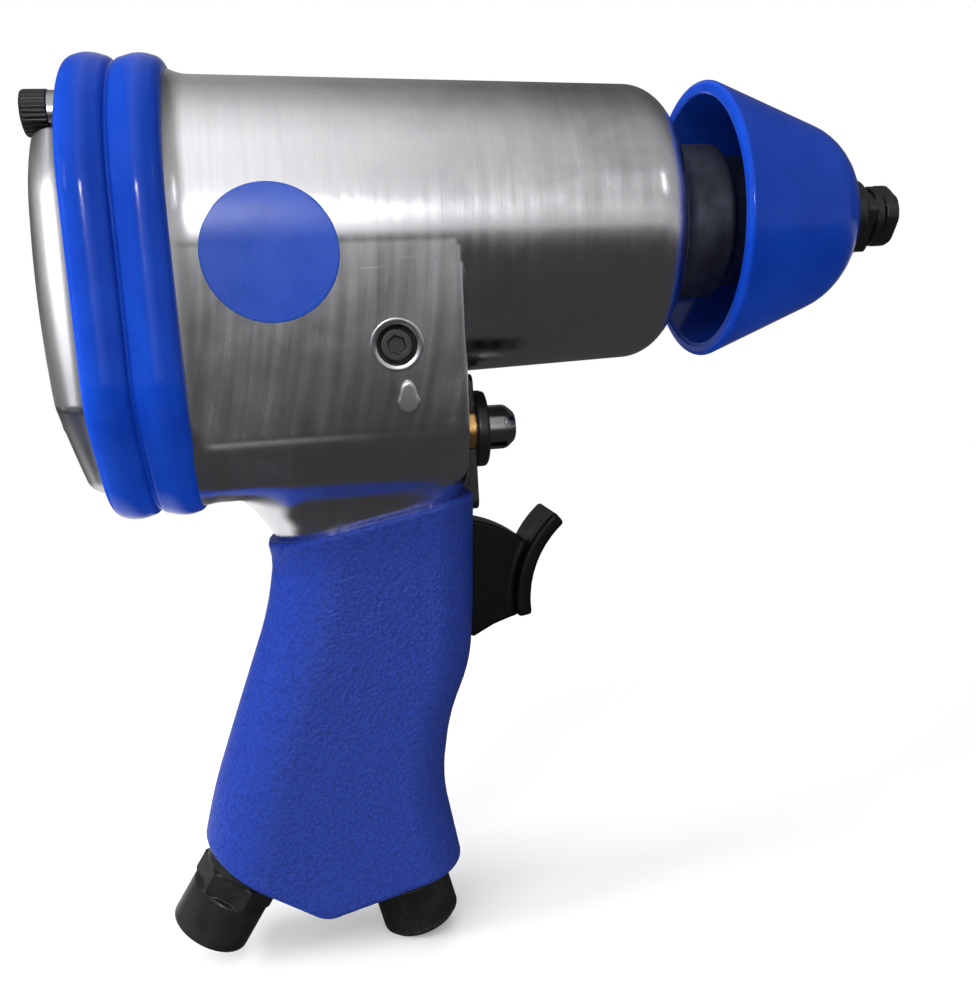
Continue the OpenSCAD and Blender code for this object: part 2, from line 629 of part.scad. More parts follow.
module rear_end_plate() color(steel) difference() {
  rod(joint_x + 0.1, rear_plate_front_x, motor_r - 0.08);
  rod(joint_x, joint_x + 6.4, 13);
  rod(joint_x, 0, 5.6);
}
module front_end_plate() color(steel) difference() {
  rod(liner_front_x + 0.1, front_plate_front_x - 0.1, motor_r - 0.08);
  rod(front_plate_front_x - 6.4, 0, 14);
  rod(-170, 0, 6.6);
}
// Ball bearing: two rings and the balls between them
module bearing(x0, x1, outer, inner) {
  mid = (outer + inner) / 2;
  ball = (outer - inner) * 0.26;
  difference() {
    ring(x0, x1, outer, outer - (outer - inner) * 0.32);
    oring((x0 + x1) / 2, mid, ball + 0.05);
  }
  difference() {
    ring(x0, x1, inner + (outer - inner) * 0.32, inner);
    oring((x0 + x1) / 2, mid, ball + 0.05);
  }
  for (i = [0:ball_count - 1]) rotate([360 / ball_count * i, 0, 0])
    translate([(x0 + x1) / 2, 0, mid]) sphere(r = ball);
}
module rear_bearing() color(steel) bearing(joint_x + 0.4, joint_x + 6.3, 13 - snug, 5 + running);
module front_bearing() color(steel)
  bearing(front_plate_front_x - 6.3, front_plate_front_x - 0.5, 14 - snug, 6 + running);
module alignment_pin() color(steel) upright(key_x, motor_r - 3.6, motor_r + 1.5, key_r);
module exhaust_silencers() color("#6d6f72") for (side = [-1, 1]) exhaust_run(side, 2.45, 108, 120);

housing();
rear_cover();
rear_gasket();
cover_screws();
spring_washers();
rear_bumper();
nose_bumper();
handle_grip();
label_disc();
oil_plug();
oil_plug_washer();
trigger();
trigger_pin();
throttle_stem();
throttle_spring();
throttle_bush();
valve_plug();
reverse_spool();
reverse_sleeve();
reverse_plate();
plate_screws();
reverse_stop_pin();
reverse_oring();
inlet_bushing();
inlet_washer();
inlet_screen();
regulator_knob();
regulator_stem();
regulator_oring();
regulator_pin();
anvil();
friction_ring();
friction_oring();
anvil_bush();
nose_seal();
thrust_washer();
hammer_cage();
hammer_pins();
front_dog();
rear_dog();
rotor();
rotor_vanes();
cylinder_liner();
front_end_plate();
rear_end_plate();
front_bearing();
rear_bearing();
alignment_pin();
exhaust_silencers();
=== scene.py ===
import json
import math

import bpy
import numpy as np
from mathutils import Matrix, Vector


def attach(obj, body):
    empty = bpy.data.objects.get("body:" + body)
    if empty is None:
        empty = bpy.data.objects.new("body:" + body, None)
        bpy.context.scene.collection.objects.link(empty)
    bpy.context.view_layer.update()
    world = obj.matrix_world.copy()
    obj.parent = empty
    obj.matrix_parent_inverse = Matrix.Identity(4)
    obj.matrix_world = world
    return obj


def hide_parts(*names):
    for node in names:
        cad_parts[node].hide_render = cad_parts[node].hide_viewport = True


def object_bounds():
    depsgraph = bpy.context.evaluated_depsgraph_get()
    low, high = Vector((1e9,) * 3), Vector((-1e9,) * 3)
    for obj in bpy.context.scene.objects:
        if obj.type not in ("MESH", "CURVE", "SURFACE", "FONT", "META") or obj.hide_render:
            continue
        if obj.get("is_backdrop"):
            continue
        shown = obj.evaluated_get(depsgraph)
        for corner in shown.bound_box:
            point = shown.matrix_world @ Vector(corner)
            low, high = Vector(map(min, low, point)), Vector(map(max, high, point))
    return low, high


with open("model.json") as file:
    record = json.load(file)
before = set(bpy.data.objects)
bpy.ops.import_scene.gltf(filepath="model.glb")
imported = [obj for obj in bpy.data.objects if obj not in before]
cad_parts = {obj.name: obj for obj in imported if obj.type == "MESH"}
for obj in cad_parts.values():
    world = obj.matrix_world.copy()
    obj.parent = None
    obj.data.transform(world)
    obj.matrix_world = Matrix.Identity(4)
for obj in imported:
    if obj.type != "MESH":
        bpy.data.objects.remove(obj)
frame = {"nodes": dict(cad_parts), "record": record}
cadLow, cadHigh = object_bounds()
mm = 0.001                      # shapes below are in millimetres, meshes in metres
print("frame loaded:", len(frame["nodes"]), "nodes")


# Shape tools: a form is a function of x, y, z that is negative inside

def blended(a, b, reach):
    share = np.clip(0.5 + 0.5 * (b - a) / reach, 0, 1)
    return b + (a - b) * share - reach * share * (1 - share)


def common(a, b, edge):          # where both are, with the edge rounded
    u = np.maximum(a + edge, 0)
    v = np.maximum(b + edge, 0)
    return np.minimum(np.maximum(a, b), -edge) + np.hypot(u, v)


def without(a, b, edge):         # a with b cut away
    return common(a, -b, edge)


def between(value, low, high):   # negative between low and high
    return np.abs(value - (low + high) / 2) - (high - low) / 2


def sixSided(a, b, turns, half):
    return np.max([np.abs(a * math.cos(t) + b * math.sin(t)) for t in turns], 0) - half


def eased(value, low, high):
    t = np.clip((value - low) / (high - low), 0, 1)
    return t * t * (3 - 2 * t)


def alongAxis(x, z, foot, tilt):  # depth along a tilted axis in the XZ plane, and the offset from it
    out = (math.sin(math.radians(tilt)), -math.cos(math.radians(tilt)))
    dx, dz = x - foot[0], z - foot[1]
    return dx * out[0] + dz * out[1], dx * out[1] - dz * out[0]


def slopeOf(form, points, reach=0.04):
    slope = np.empty_like(points)
    for i in range(3):
        ahead, behind = points.copy(), points.copy()
        ahead[:, i] += reach
        behind[:, i] -= reach
        slope[:, i] = (form(*ahead.T) - form(*behind.T)) / (2 * reach)
    return slope


def settled(form, points, most, rounds=3):   # draws points onto the form's skin
    for _ in range(rounds):
        slope = slopeOf(form, points)
        size = np.maximum((slope ** 2).sum(1), 0.09)
        move = -(form(*points.T) / size)[:, None] * slope
        length = np.maximum(np.linalg.norm(move, axis=1), 1e-9)
        points = points + move * np.minimum(1, most / length)[:, None]
    return points


def skinOf(form, low, high, step, relaxing=2):
    low = np.array(low, float)
    count = np.ceil((np.array(high) - low) / step).astype(int) + 1
    axes = [low[i] + step * np.arange(count[i]) for i in range(3)]
    value = np.empty(count, np.float32)
    slab = 12
    for i in range(0, count[0], slab):
        grid = np.meshgrid(axes[0][i:i + slab], axes[1], axes[2], indexing="ij")
        value[i:i + slab] = form(*grid)
    inside = value < 0
    corners = np.array([(i, j, k) for i in (0, 1) for j in (0, 1) for k in (0, 1)])
    cells = count - 1
    filled = np.zeros(cells, np.int8)
    for i, j, k in corners:
        filled += inside[i:i + cells[0], j:j + cells[1], k:k + cells[2]]
    active = np.argwhere((filled > 0) & (filled < 8))
    number = np.full(cells, -1, np.int32)
    number[tuple(active.T)] = np.arange(len(active))
    at = np.stack([value[tuple((active + c).T)] for c in corners], 1).astype(float)
    total, hits = np.zeros((len(active), 3)), np.zeros(len(active))
    for a in range(8):
        for b in range(a + 1, 8):
            if np.abs(corners[a] - corners[b]).sum() != 1:
                continue
            crossed = (at[:, a] < 0) != (at[:, b] < 0)
            gap = np.where(crossed, at[:, a] - at[:, b], 1)
            share = np.where(crossed, at[:, a] / gap, 0)
            spot = corners[a] + share[:, None] * (corners[b] - corners[a])
            total += spot * crossed[:, None]
            hits += crossed
    points = low + step * (active + total / hits[:, None])
    quads = []
    for axis in range(3):
        one, two = (axis + 1) % 3, (axis + 2) % 3
        first = np.take(inside, range(count[axis] - 1), axis)
        second = np.take(inside, range(1, count[axis]), axis)
        edges = np.argwhere(first != second)
        fits = (edges[:, one] > 0) & (edges[:, two] > 0)
        fits &= (edges[:, one] < cells[one]) & (edges[:, two] < cells[two])
        edges = edges[fits]
        stepOne, stepTwo = np.eye(3, dtype=int)[one], np.eye(3, dtype=int)[two]
        around = [edges, edges - stepOne, edges - stepOne - stepTwo, edges - stepTwo]
        quad = np.stack([number[tuple(e.T)] for e in around], 1)
        turned = ~first[tuple(edges.T)]
        quad[turned] = quad[turned][:, ::-1]
        quads.append(quad)
    quads = np.concatenate(quads)
    points = settled(form, points, step)
    links = np.concatenate([quads[:, [i, (i + 1) % 4]] for i in range(4)])
    for _ in range(relaxing):    # evens the spacing, then draws the points back
        mean, near = np.zeros_like(points), np.zeros(len(points))
        np.add.at(mean, links[:, 0], points[links[:, 1]])
        np.add.at(near, links[:, 0], 1)
        normal = slopeOf(form, points)
        normal /= np.maximum(np.linalg.norm(normal, axis=1), 1e-6)[:, None]
        shift = mean / np.maximum(near, 1)[:, None] - points
        shift -= (shift * normal).sum(1)[:, None] * normal
        points = settled(form, points + 0.6 * shift, step * 0.5, 2)
    normal = slopeOf(form, points)
    normal /= np.maximum(np.linalg.norm(normal, axis=1), 1e-6)[:, None]
    return points, quads.tolist(), normal


def filleted(corners, closed=True, bend=10):   # corners are (a, b, radius)
    flat = [Vector((c[0], c[1])) for c in corners]
    total = sum(p.x * q.y - q.x * p.y for p, q in zip(flat, flat[1:] + flat[:1]))
    hand = 1 if total > 0 else -1
    points, normals = [], []

    def side(p, q):
        d = (q - p).normalized()
        return Vector((d.y, -d.x)) * hand

    for i, corner in enumerate(corners):
        here = flat[i]
        if not closed and i in (0, len(flat) - 1):
            near = flat[1] if i == 0 else flat[i - 1]
            points.append(here)
            normals.append(side(here, near) if i == 0 else side(near, here))
            continue
        before, after = flat[i - 1], flat[(i + 1) % len(flat)]
        first, second = side(before, here), side(here, after)
        turn = math.atan2(first.x * second.y - first.y * second.x, first.dot(second))
        reach = corner[2] * math.tan(abs(turn) / 2)
        start = here + (before - here).normalized() * reach
        bow = hand * corner[2] if turn * hand > 0 else -hand * corner[2]
        centre = start - first * bow * hand
        steps = max(2, math.ceil(abs(math.degrees(turn)) / bend))
        for k in range(steps + 1):
            spin = Matrix.Rotation(turn * k / steps, 2)
            normal = spin @ first
            points.append(centre + normal * bow * hand)
            normals.append(normal)
    return np.array([tuple(p) for p in points]), np.array([tuple(n) for n in normals])


def swept(ring, ringNormals, profile, profileNormals, closed=True):
    # carries a profile (along, outward) round a ring; an open profile gets flat ends
    m, n = len(ring), len(profile)
    points, normals = np.zeros((m, n, 3)), np.zeros((m, n, 3))
    points[:, :, 0] = profile[:, 0]
    points[:, :, 1:] = ring[:, None, :] + ringNormals[:, None, :] * profile[:, 1][None, :, None]
    normals[:, :, 0] = profileNormals[:, 0]
    normals[:, :, 1:] = ringNormals[:, None, :] * profileNormals[:, 1][None, :, None]
    faces = []
    for i in range(m):
        k = (i + 1) % m
        for j in range(n if closed else n - 1):
            h = (j + 1) % n
            faces.append([i * n + j, k * n + j, k * n + h, i * n + h])
    if not closed:
        faces.append([i * n for i in range(m)])
        faces.append([i * n + n - 1 for i in range(m)][::-1])
    points, normals = points.reshape(-1, 3), normals.reshape(-1, 3)
    a, b, c = (points[[f[i] for f in faces[:m]]] for i in range(3))
    if (np.cross(b - a, c - a) * normals[[f[0] for f in faces[:m]]]).sum() < 0:
        faces = [f[::-1] for f in faces]
    return points, faces, normals


def circleOf(steps):
    turn = np.arange(steps) * 2 * math.pi / steps
    return np.stack([np.cos(turn), np.sin(turn)], 1)


def turnedShape(corners, closed, steps=96, bend=10):
    profile, normals = filleted(corners, closed, bend)
    spokes = circleOf(steps)
    return swept(np.zeros((steps, 2)), spokes, profile, normals, closed)


def atFoot(points, foot, tilt):  # from (along, across, side) to the tilted axis at the handle's foot
    s, c = math.sin(math.radians(tilt)), math.cos(math.radians(tilt))
    along, across, side = points.T
    return np.stack([along * s + across * c + foot[0], -side, across * s - along * c + foot[1]], 1)


def turnedAtFoot(shape, foot, tilt):
    points, faces, normals = shape
    if normals is not None:
        normals = atFoot(normals, (0, 0), tilt)
    return atFoot(points, foot, tilt), faces, normals


def piece(name, shape, finish, body, nodes=(), brushed=False):
    points, faces, normals = shape
    mesh = bpy.data.meshes.new(name)
    mesh.from_pydata((points * mm).tolist(), [], faces)
    mesh.shade_smooth()
    if normals is not None:
        mesh.normals_split_custom_set_from_vertices(normals.tolist())
    if brushed:
        brushedMap(mesh, points)
    mesh.materials.append(finish)
    obj = bpy.data.objects.new(name, mesh)
    bpy.context.scene.collection.objects.link(obj)
    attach(obj, body)
    if nodes:
        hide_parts(*nodes)
    print("made", name, len(points), "points")
    return obj


def brushedMap(mesh, points):    # u along the axis, v round it, so that the polish lines run round the barrel
    index = np.empty(len(mesh.loops), int)
    mesh.loops.foreach_get("vertex_index", index)
    x, y, z = points[index].T
    turn = np.arctan2(y, z).reshape(-1, 4)
    split = (turn.max(1) - turn.min(1)) > math.pi
    turn[split] = np.where(turn[split] < 0, turn[split] + 2 * math.pi, turn[split])
    u = (x + 0.35 * np.hypot(y, z)) * mm
    v = turn.ravel() * 32 * mm
    layer = mesh.uv_layers.new(name="brushed")
    layer.data.foreach_set("uv", np.stack([u, v], 1).astype(np.float32).ravel())


# Finishes

def startFinish(name, colour, roughness, metallic=0.0):
    mat = bpy.data.materials.new(name)
    mat.use_nodes = True
    shader = mat.node_tree.nodes["Principled BSDF"]
    shader.inputs["Base Color"].default_value = (*colour, 1)
    shader.inputs["Roughness"].default_value = roughness
    shader.inputs["Metallic"].default_value = metallic
    return mat, mat.node_tree, shader


def put(tree, kind, inputs=None, **settings):
    node = tree.nodes.new("ShaderNode" + kind)
    for key, value in settings.items():
        setattr(node, key, value)
    for key, value in (inputs or {}).items():
        if isinstance(value, bpy.types.NodeSocket):
            tree.links.new(value, node.inputs[key])
        else:
            node.inputs[key].default_value = value
    return node


def noiseOf(tree, vector, scale, detail=3.0, rough=0.55, warp=0.0):
    return put(tree, "TexNoise", {"Vector": vector, "Scale": scale, "Detail": detail,
                                  "Roughness": rough, "Distortion": warp}).outputs["Fac"]


def spread(tree, value, low, high, lowest, highest):
    return put(tree, "MapRange", {"Value": value, "From Min": low, "From Max": high,
                                  "To Min": lowest, "To Max": highest}).outputs["Result"]


def tinted(tree, factor, dark, light):
    ramp = put(tree, "ValToRGB", {"Fac": factor})
    ramp.color_ramp.elements[0].color = (*dark, 1)
    ramp.color_ramp.elements[1].color = (*light, 1)
    return ramp.outputs["Color"]


def bumped(tree, shader, height, strength, depth):
    bump = put(tree, "Bump", {"Height": height, "Strength": strength, "Distance": depth})
    tree.links.new(bump.outputs["Normal"], shader.inputs["Normal"])
    return bump


def placeOf(tree):
    return put(tree, "TexCoord").outputs["Object"]


def stretchedMap(tree, across, along):
    source = put(tree, "UVMap", uv_map="brushed").outputs["UV"]
    return put(tree, "Mapping", {"Vector": source, "Scale": (across, along, 1)}).outputs["Vector"]


polish = {"colour": (0.79, 0.785, 0.81), "dull": (0.66, 0.66, 0.69), "smooth": 0.17, "rough": 0.30,
          "lines": 2600, "lineReach": 55, "lineDepth": 0.00002, "anisotropy": 0.55}
brush = {"colour": (0.76, 0.76, 0.77), "dull": (0.62, 0.62, 0.63), "smooth": 0.30, "rough": 0.44,
         "lines": 1900, "lineReach": 40, "lineDepth": 0.00004, "anisotropy": 0.6}


def linedMetal(name, look):
    mat, tree, shader = startFinish(name, look["colour"], look["smooth"], 1.0)
    shader.inputs["Anisotropic"].default_value = look["anisotropy"]
    tangent = put(tree, "Tangent", direction_type="UV_MAP", uv_map="brushed")
    tree.links.new(tangent.outputs["Tangent"], shader.inputs["Tangent"])
    fine = noiseOf(tree, stretchedMap(tree, look["lines"], look["lineReach"]), 1.0, 3.0)
    wide = noiseOf(tree, stretchedMap(tree, look["lines"] * 0.2, look["lineReach"] * 0.5), 1.0, 3.0)
    cloud = noiseOf(tree, placeOf(tree), 55, 5.0, 0.62, 0.6)
    nick = noiseOf(tree, stretchedMap(tree, 45, 2300), 1.0, 2.0)
    nicks = spread(tree, nick, 0.73, 0.81, 0, 1)
    mixed = put(tree, "Math", {0: wide, 1: cloud}, operation="ADD").outputs[0]
    tree.links.new(spread(tree, mixed, 0.75, 1.3, look["smooth"], look["rough"]), shader.inputs["Roughness"])
    tree.links.new(tinted(tree, spread(tree, cloud, 0.3, 0.75, 0, 1), look["dull"], look["colour"]),
                   shader.inputs["Base Color"])
    marks = put(tree, "Math", {0: nicks, 1: 0.8}, operation="MULTIPLY").outputs[0]
    height = put(tree, "Math", {0: fine, 1: marks}, operation="SUBTRACT").outputs[0]
    bumped(tree, shader, height, 0.35, look["lineDepth"])
    return mat


cast = {"dark": (0.05, 0.053, 0.072), "light": (0.11, 0.115, 0.145), "grain": 1400, "depth": 0.00015}


def castMetal():
    mat, tree, shader = startFinish("cast_aluminium", cast["light"], 0.5, 0.85)
    place = placeOf(tree)
    grain = noiseOf(tree, place, cast["grain"], 4.0, 0.65)
    patch = noiseOf(tree, place, 160, 3.0)
    tree.links.new(tinted(tree, spread(tree, patch, 0.3, 0.7, 0, 1), cast["dark"], cast["light"]),
                   shader.inputs["Base Color"])
    tree.links.new(spread(tree, grain, 0.3, 0.7, 0.42, 0.62), shader.inputs["Roughness"])
    bumped(tree, shader, grain, 0.45, cast["depth"])
    return mat


bumperLook = {"dark": (0.005, 0.050, 0.46), "light": (0.007, 0.066, 0.54), "smooth": 0.08, "rough": 0.18,
              "ripple": 240, "depth": 0.00006}


def glossyRubber():
    mat, tree, shader = startFinish("bumper_blue", bumperLook["light"], 0.15)
    shader.inputs["Specular IOR Level"].default_value = 0.16
    place = placeOf(tree)
    ripple = noiseOf(tree, place, bumperLook["ripple"], 3.0, 0.5, 0.4)
    smear = noiseOf(tree, place, 90, 4.0, 0.6)
    tree.links.new(tinted(tree, spread(tree, smear, 0.3, 0.7, 0, 1), bumperLook["dark"], bumperLook["light"]),
                   shader.inputs["Base Color"])
    tree.links.new(spread(tree, smear, 0.35, 0.7, bumperLook["smooth"], bumperLook["rough"]),
                   shader.inputs["Roughness"])
    bumped(tree, shader, ripple, 0.25, bumperLook["depth"])
    return mat


gripLook = {"dark": (0.007, 0.026, 0.22), "light": (0.011, 0.042, 0.32), "grain": 1450, "depth": 0.00026}


def grainedRubber():
    mat, tree, shader = startFinish("grip_blue", gripLook["light"], 0.46)
    shader.inputs["Specular IOR Level"].default_value = 0.25
    place = placeOf(tree)
    bend = put(tree, "TexNoise", {"Vector": place, "Scale": gripLook["grain"] * 0.6, "Detail": 2.0})
    pulled = put(tree, "VectorMath", {0: bend.outputs["Color"], 1: (0.0011, 0.0011, 0.0011)},
                 operation="MULTIPLY").outputs["Vector"]
    moved = put(tree, "VectorMath", {0: place, 1: pulled}, operation="ADD").outputs["Vector"]
    cells = put(tree, "TexVoronoi", {"Vector": moved, "Scale": gripLook["grain"]}, feature="SMOOTH_F1")
    pits = noiseOf(tree, place, gripLook["grain"] * 1.7, 3.0)
    cell = spread(tree, cells.outputs["Distance"], 0.1, 0.75, 1, 0)
    height = put(tree, "Math", {0: pits, 1: 0.45, 2: cell}, operation="MULTIPLY_ADD").outputs[0]
    tree.links.new(tinted(tree, spread(tree, height, 0.3, 1.1, 0, 1), gripLook["dark"], gripLook["light"]),
                   shader.inputs["Base Color"])
    tree.links.new(spread(tree, height, 0.2, 1.2, 0.56, 0.40), shader.inputs["Roughness"])
    bumped(tree, shader, height, 0.5, gripLook["depth"])
    return mat


def plainFinish(name, dark, light, smooth, rough, metallic, grain, depth, strength=0.3, shine=0.5):
    mat, tree, shader = startFinish(name, light, smooth, metallic)
    shader.inputs["Specular IOR Level"].default_value = shine
    place = placeOf(tree)
    speck = noiseOf(tree, place, grain, 4.0, 0.6)
    cloud = noiseOf(tree, place, 120, 4.0, 0.6)
    tree.links.new(tinted(tree, spread(tree, cloud, 0.3, 0.7, 0, 1), dark, light), shader.inputs["Base Color"])
    tree.links.new(spread(tree, cloud, 0.3, 0.7, smooth, rough), shader.inputs["Roughness"])
    bumped(tree, shader, speck, strength, depth)
    return mat


polished = linedMetal("polished_aluminium", polish)
brushedCover = linedMetal("brushed_aluminium", brush)
castNose = castMetal()
bumperBlue = glossyRubber()
gripBlue = grainedRubber()
labelBlue = plainFinish("label_blue", (0.010, 0.070, 0.50), (0.013, 0.082, 0.56),
                        0.24, 0.34, 0, 2600, 0.00005, 0.3, 0.6)
triggerBlack = plainFinish("trigger_black", (0.002, 0.002, 0.002), (0.0036, 0.0036, 0.0036),
                           0.36, 0.5, 0, 1700, 0.00008, 0.3, 0.13)
oxideBlack = plainFinish("black_oxide", (0.012, 0.012, 0.013), (0.026, 0.026, 0.028),
                         0.30, 0.45, 0.35, 1500, 0.00006)
groundSteel = plainFinish("ground_steel", (0.34, 0.34, 0.35), (0.46, 0.46, 0.47), 0.2, 0.34, 1, 2200, 0.00003)
spoolSteel = plainFinish("dark_spool_steel", (0.24, 0.24, 0.25), (0.33, 0.33, 0.34),
                         0.12, 0.2, 1, 1900, 0.00002)
turnedBrass = plainFinish("turned_brass", (0.62, 0.36, 0.13), (0.78, 0.48, 0.2), 0.2, 0.32, 1, 1500, 0.00004)
sealBlack = plainFinish("seal_rubber", (0.008, 0.008, 0.008), (0.014, 0.014, 0.014), 0.55, 0.7, 0, 1200, 0.0001)
gasketBrown = plainFinish("gasket_board", (0.07, 0.058, 0.04), (0.11, 0.092, 0.07), 0.7, 0.85, 0, 1500, 0.0001)
vaneBrown = plainFinish("vane_resin", (0.045, 0.028, 0.014), (0.075, 0.05, 0.028), 0.45, 0.6, 0, 1300, 0.0001)
slotFinish = {"polished_aluminium": polished, "brushed_aluminium": brushedCover, "blue_bumper": bumperBlue,
              "blue_grip": gripBlue, "blue_label": labelBlue, "black_plastic": triggerBlack,
              "black_steel": oxideBlack, "bright_steel": groundSteel, "brass": turnedBrass,
              "seal_rubber": sealBlack, "gasket_board": gasketBrown, "vane_resin": vaneBrown}
for row in frame["record"]["subparts"]:
    node = frame["nodes"][row["node"]]
    node.data.materials.clear()
    node.data.materials.append(slotFinish[row["material_slot"]])
print("finishes ready:", len(bpy.data.materials))


# Housing: barrel, belly, flange, nose and handle core in one casting

casting = {"jointX": -163.0, "rearR": 32.9, "frontR": 29.9, "frontX": -49.2, "frontRound": 9.0,
           "flangeR": 17.2, "flangeX": -36.0, "bossR": 14.5, "bossX": -6.0,
           "bodyX": -98.6, "bodyHalf": 31.2, "creaseHalf": 26.6, "creaseZ": -43.0,
           "bellyHalf": 19.5, "bellyZ": -54.5, "creaseEdge": 1.2, "bellyEdge": 4.0, "bodyEdge": 1.6,
           "handleBlend": 4.5, "rimBlend": 5.0, "bossBlend": 1.5, "noseBlend": 4.5, "step": 0.9}
rim = {"half": 33.4, "topZ": 31.8, "frontX": -154.0, "lowZ": -34.0, "footHalf": 18.5, "footZ": -53.8,
       "topRound": 27.0, "sideRound": 18.0, "footRound": 16.0, "sideEase": 3.2, "footEase": 5.7}
handle = {"z": (-162, -123, -107, -97, -82, -67, -56, -46),
          "back": (-167, -156.6, -150.6, -146.7, -140.9, -138.1, -145.5, -151),
          "front": (-102.9, -109.2, -106.3, -101.2, -99.7, -98.9, -98.6, -98.6),
          "half": (14.8, 14.4, 14.2, 14.2, 14.2, 14.2, 16.8, 21.5),
          "backRound": 13.5, "frontRound": 7.0, "topZ": -42.0, "topEdge": 6.0}
foot = {"inlet": (-152.2, -140.6), "inletTilt": -33.0, "regulator": (-116.7, -146.9), "regulatorTilt": 13.0}
bores = {"motorR": 27.0, "motorX": -104.1, "hammerR": 25.3, "hammerX": -57.0, "noseR": 12.5,
         "throttleZ": -78.5, "throttleR": 6.6, "throttleX": -134.0, "reverseZ": -44.2, "reverseR": 6.95,
         "reverseX": -131.2, "inletR": 7.9, "inletDepth": 14.0, "regulatorR": 4.6, "regulatorDepth": 50.0}
slot = {"half": 5.2, "backX": -109.5, "topZ": -62.5, "footZ": -97.0}
oil = {"x": -112.7, "z": -24.2, "recessR": 4.1, "floorY": -26.0, "rimR": 5.3, "screwR": 3.3}


def lineSide(a, b, p, q):        # distance outside the line from p to q
    run = (q[0] - p[0], q[1] - p[1])
    size = np.hypot(*run)
    return ((a - p[0]) * -run[1] + (b - p[1]) * run[0]) / size


def rimForm(y, z):
    y = np.abs(y)
    d = common(y - rim["half"], z - rim["topZ"], rim["topRound"])
    slant = lineSide(y, z, (rim["footHalf"], rim["footZ"]), (rim["half"], rim["lowZ"]))
    d = common(d, -slant, rim["sideEase"])
    return common(d, rim["footZ"] - z, rim["footEase"])


def barrelR(x):
    c = casting
    taper = (c["rearR"] - c["frontR"]) / (c["frontX"] - c["frontRound"] - c["jointX"])
    return c["rearR"] - (x - c["jointX"]) * taper


def barrelForm(x, y, z):
    d = common(np.hypot(y, z) - barrelR(x), x - casting["frontX"], casting["frontRound"])
    return np.maximum(d, rim["frontX"] - 0.6 - x)   # inside the rim the rim's own outline holds


def bellyForm(x, y, z):          # the flat side leaves the barrel as a tangent
    c, y = casting, np.abs(y)
    lean = math.atan2(c["bodyHalf"] - c["creaseHalf"], -c["creaseZ"])
    side = y * math.cos(lean) - z * math.sin(lean) - barrelR(x) + 0.02
    creaseY = (barrelR(x) + c["creaseZ"] * math.sin(lean)) / math.cos(lean)
    under = -lineSide(y, z, (c["bellyHalf"], c["bellyZ"]), (creaseY, c["creaseZ"]))
    d = common(common(side, under, c["creaseEdge"]), c["bellyZ"] - z, c["bellyEdge"])
    d = np.maximum(d, z + barrelR(x) * math.sin(lean))
    return np.maximum(common(d, x - c["bodyX"], c["bodyEdge"]), rim["frontX"] - 0.6 - x)


def handleForm(x, y, z, grow=0.0):
    h = handle
    rows = {k: sum(np.interp(z + shift, h["z"], h[k]) for shift in (-5, -2.5, 0, 2.5, 5)) / 5
            for k in ("back", "front", "half")}
    middle = (rows["back"] + rows["front"]) / 2
    edge = np.where(x < middle, h["backRound"], h["frontRound"]) + grow
    u = np.abs(x - middle) - (rows["front"] - rows["back"]) / 2 - grow + edge
    v = np.abs(y) - rows["half"] - grow + edge
    d = np.minimum(np.maximum(u, v), 0) + np.hypot(np.maximum(u, 0), np.maximum(v, 0)) - edge
    return common(d, z - h["topZ"], h["topEdge"])


def footForm(x, z):
    inlet = alongAxis(x, z, foot["inlet"], foot["inletTilt"])[0]
    return common(inlet, alongAxis(x, z, foot["regulator"], foot["regulatorTilt"])[0], 2.0)


def slotForm(x, y, z, grow=0.0):
    d = np.maximum(np.abs(y) - slot["half"] - grow, slot["backX"] - grow - x)
    return np.maximum(d, np.maximum(z - slot["topZ"], slot["footZ"] - grow - z))


def hollowForm(x, y, z):
    b = bores
    away = np.hypot(y, z)
    d = np.minimum(np.maximum(away - b["motorR"], x - b["motorX"]),
                   np.maximum(away - b["hammerR"], x - b["hammerX"]))
    d = np.minimum(d, away - b["noseR"])
    throttle = np.maximum(np.hypot(y, z - b["throttleZ"]) - b["throttleR"],
                          between(x, b["throttleX"], slot["backX"]) - 1)
    reverse = np.maximum(np.hypot(y, z - b["reverseZ"]) - b["reverseR"], b["reverseX"] - x)
    d = np.minimum(d, np.minimum(throttle, np.maximum(reverse, x + 90)))
    for name, depth in (("inlet", b["inletDepth"]), ("regulator", b["regulatorDepth"])):
        along, across = alongAxis(x, z, foot[name], foot[name + "Tilt"])
        hole = np.maximum(np.hypot(y, across) - b[name + "R"], -depth - along)
        d = np.minimum(d, hole)
    return d


def outerForm(x, y, z):          # the casting before anything is cut from it
    c = casting
    away = np.hypot(y, z)
    d = np.minimum(barrelForm(x, y, z), bellyForm(x, y, z))
    d = blended(d, common(handleForm(x, y, z), footForm(x, z), 1.0), c["handleBlend"])
    collar = common(rimForm(y, z), between(x, c["jointX"], rim["frontX"]), 0.8)
    d = blended(d, collar, c["rimBlend"])
    nose = common(away - c["flangeR"], x - c["flangeX"], 1.2)
    boss = common(away - c["bossR"], x - c["bossX"], 0.8)
    return blended(d, blended(nose, boss, c["bossBlend"]), c["noseBlend"])


def housingForm(x, y, z):
    d = common(outerForm(x, y, z), casting["jointX"] - x, 0.4)
    d = without(d, hollowForm(x, y, z), 0.4)
    d = without(d, slotForm(x, y, z), 0.5)
    recess = np.maximum(np.hypot(x - oil["x"], z - oil["z"]) - oil["recessR"], y - oil["floorY"])
    return without(d, recess, 0.3)


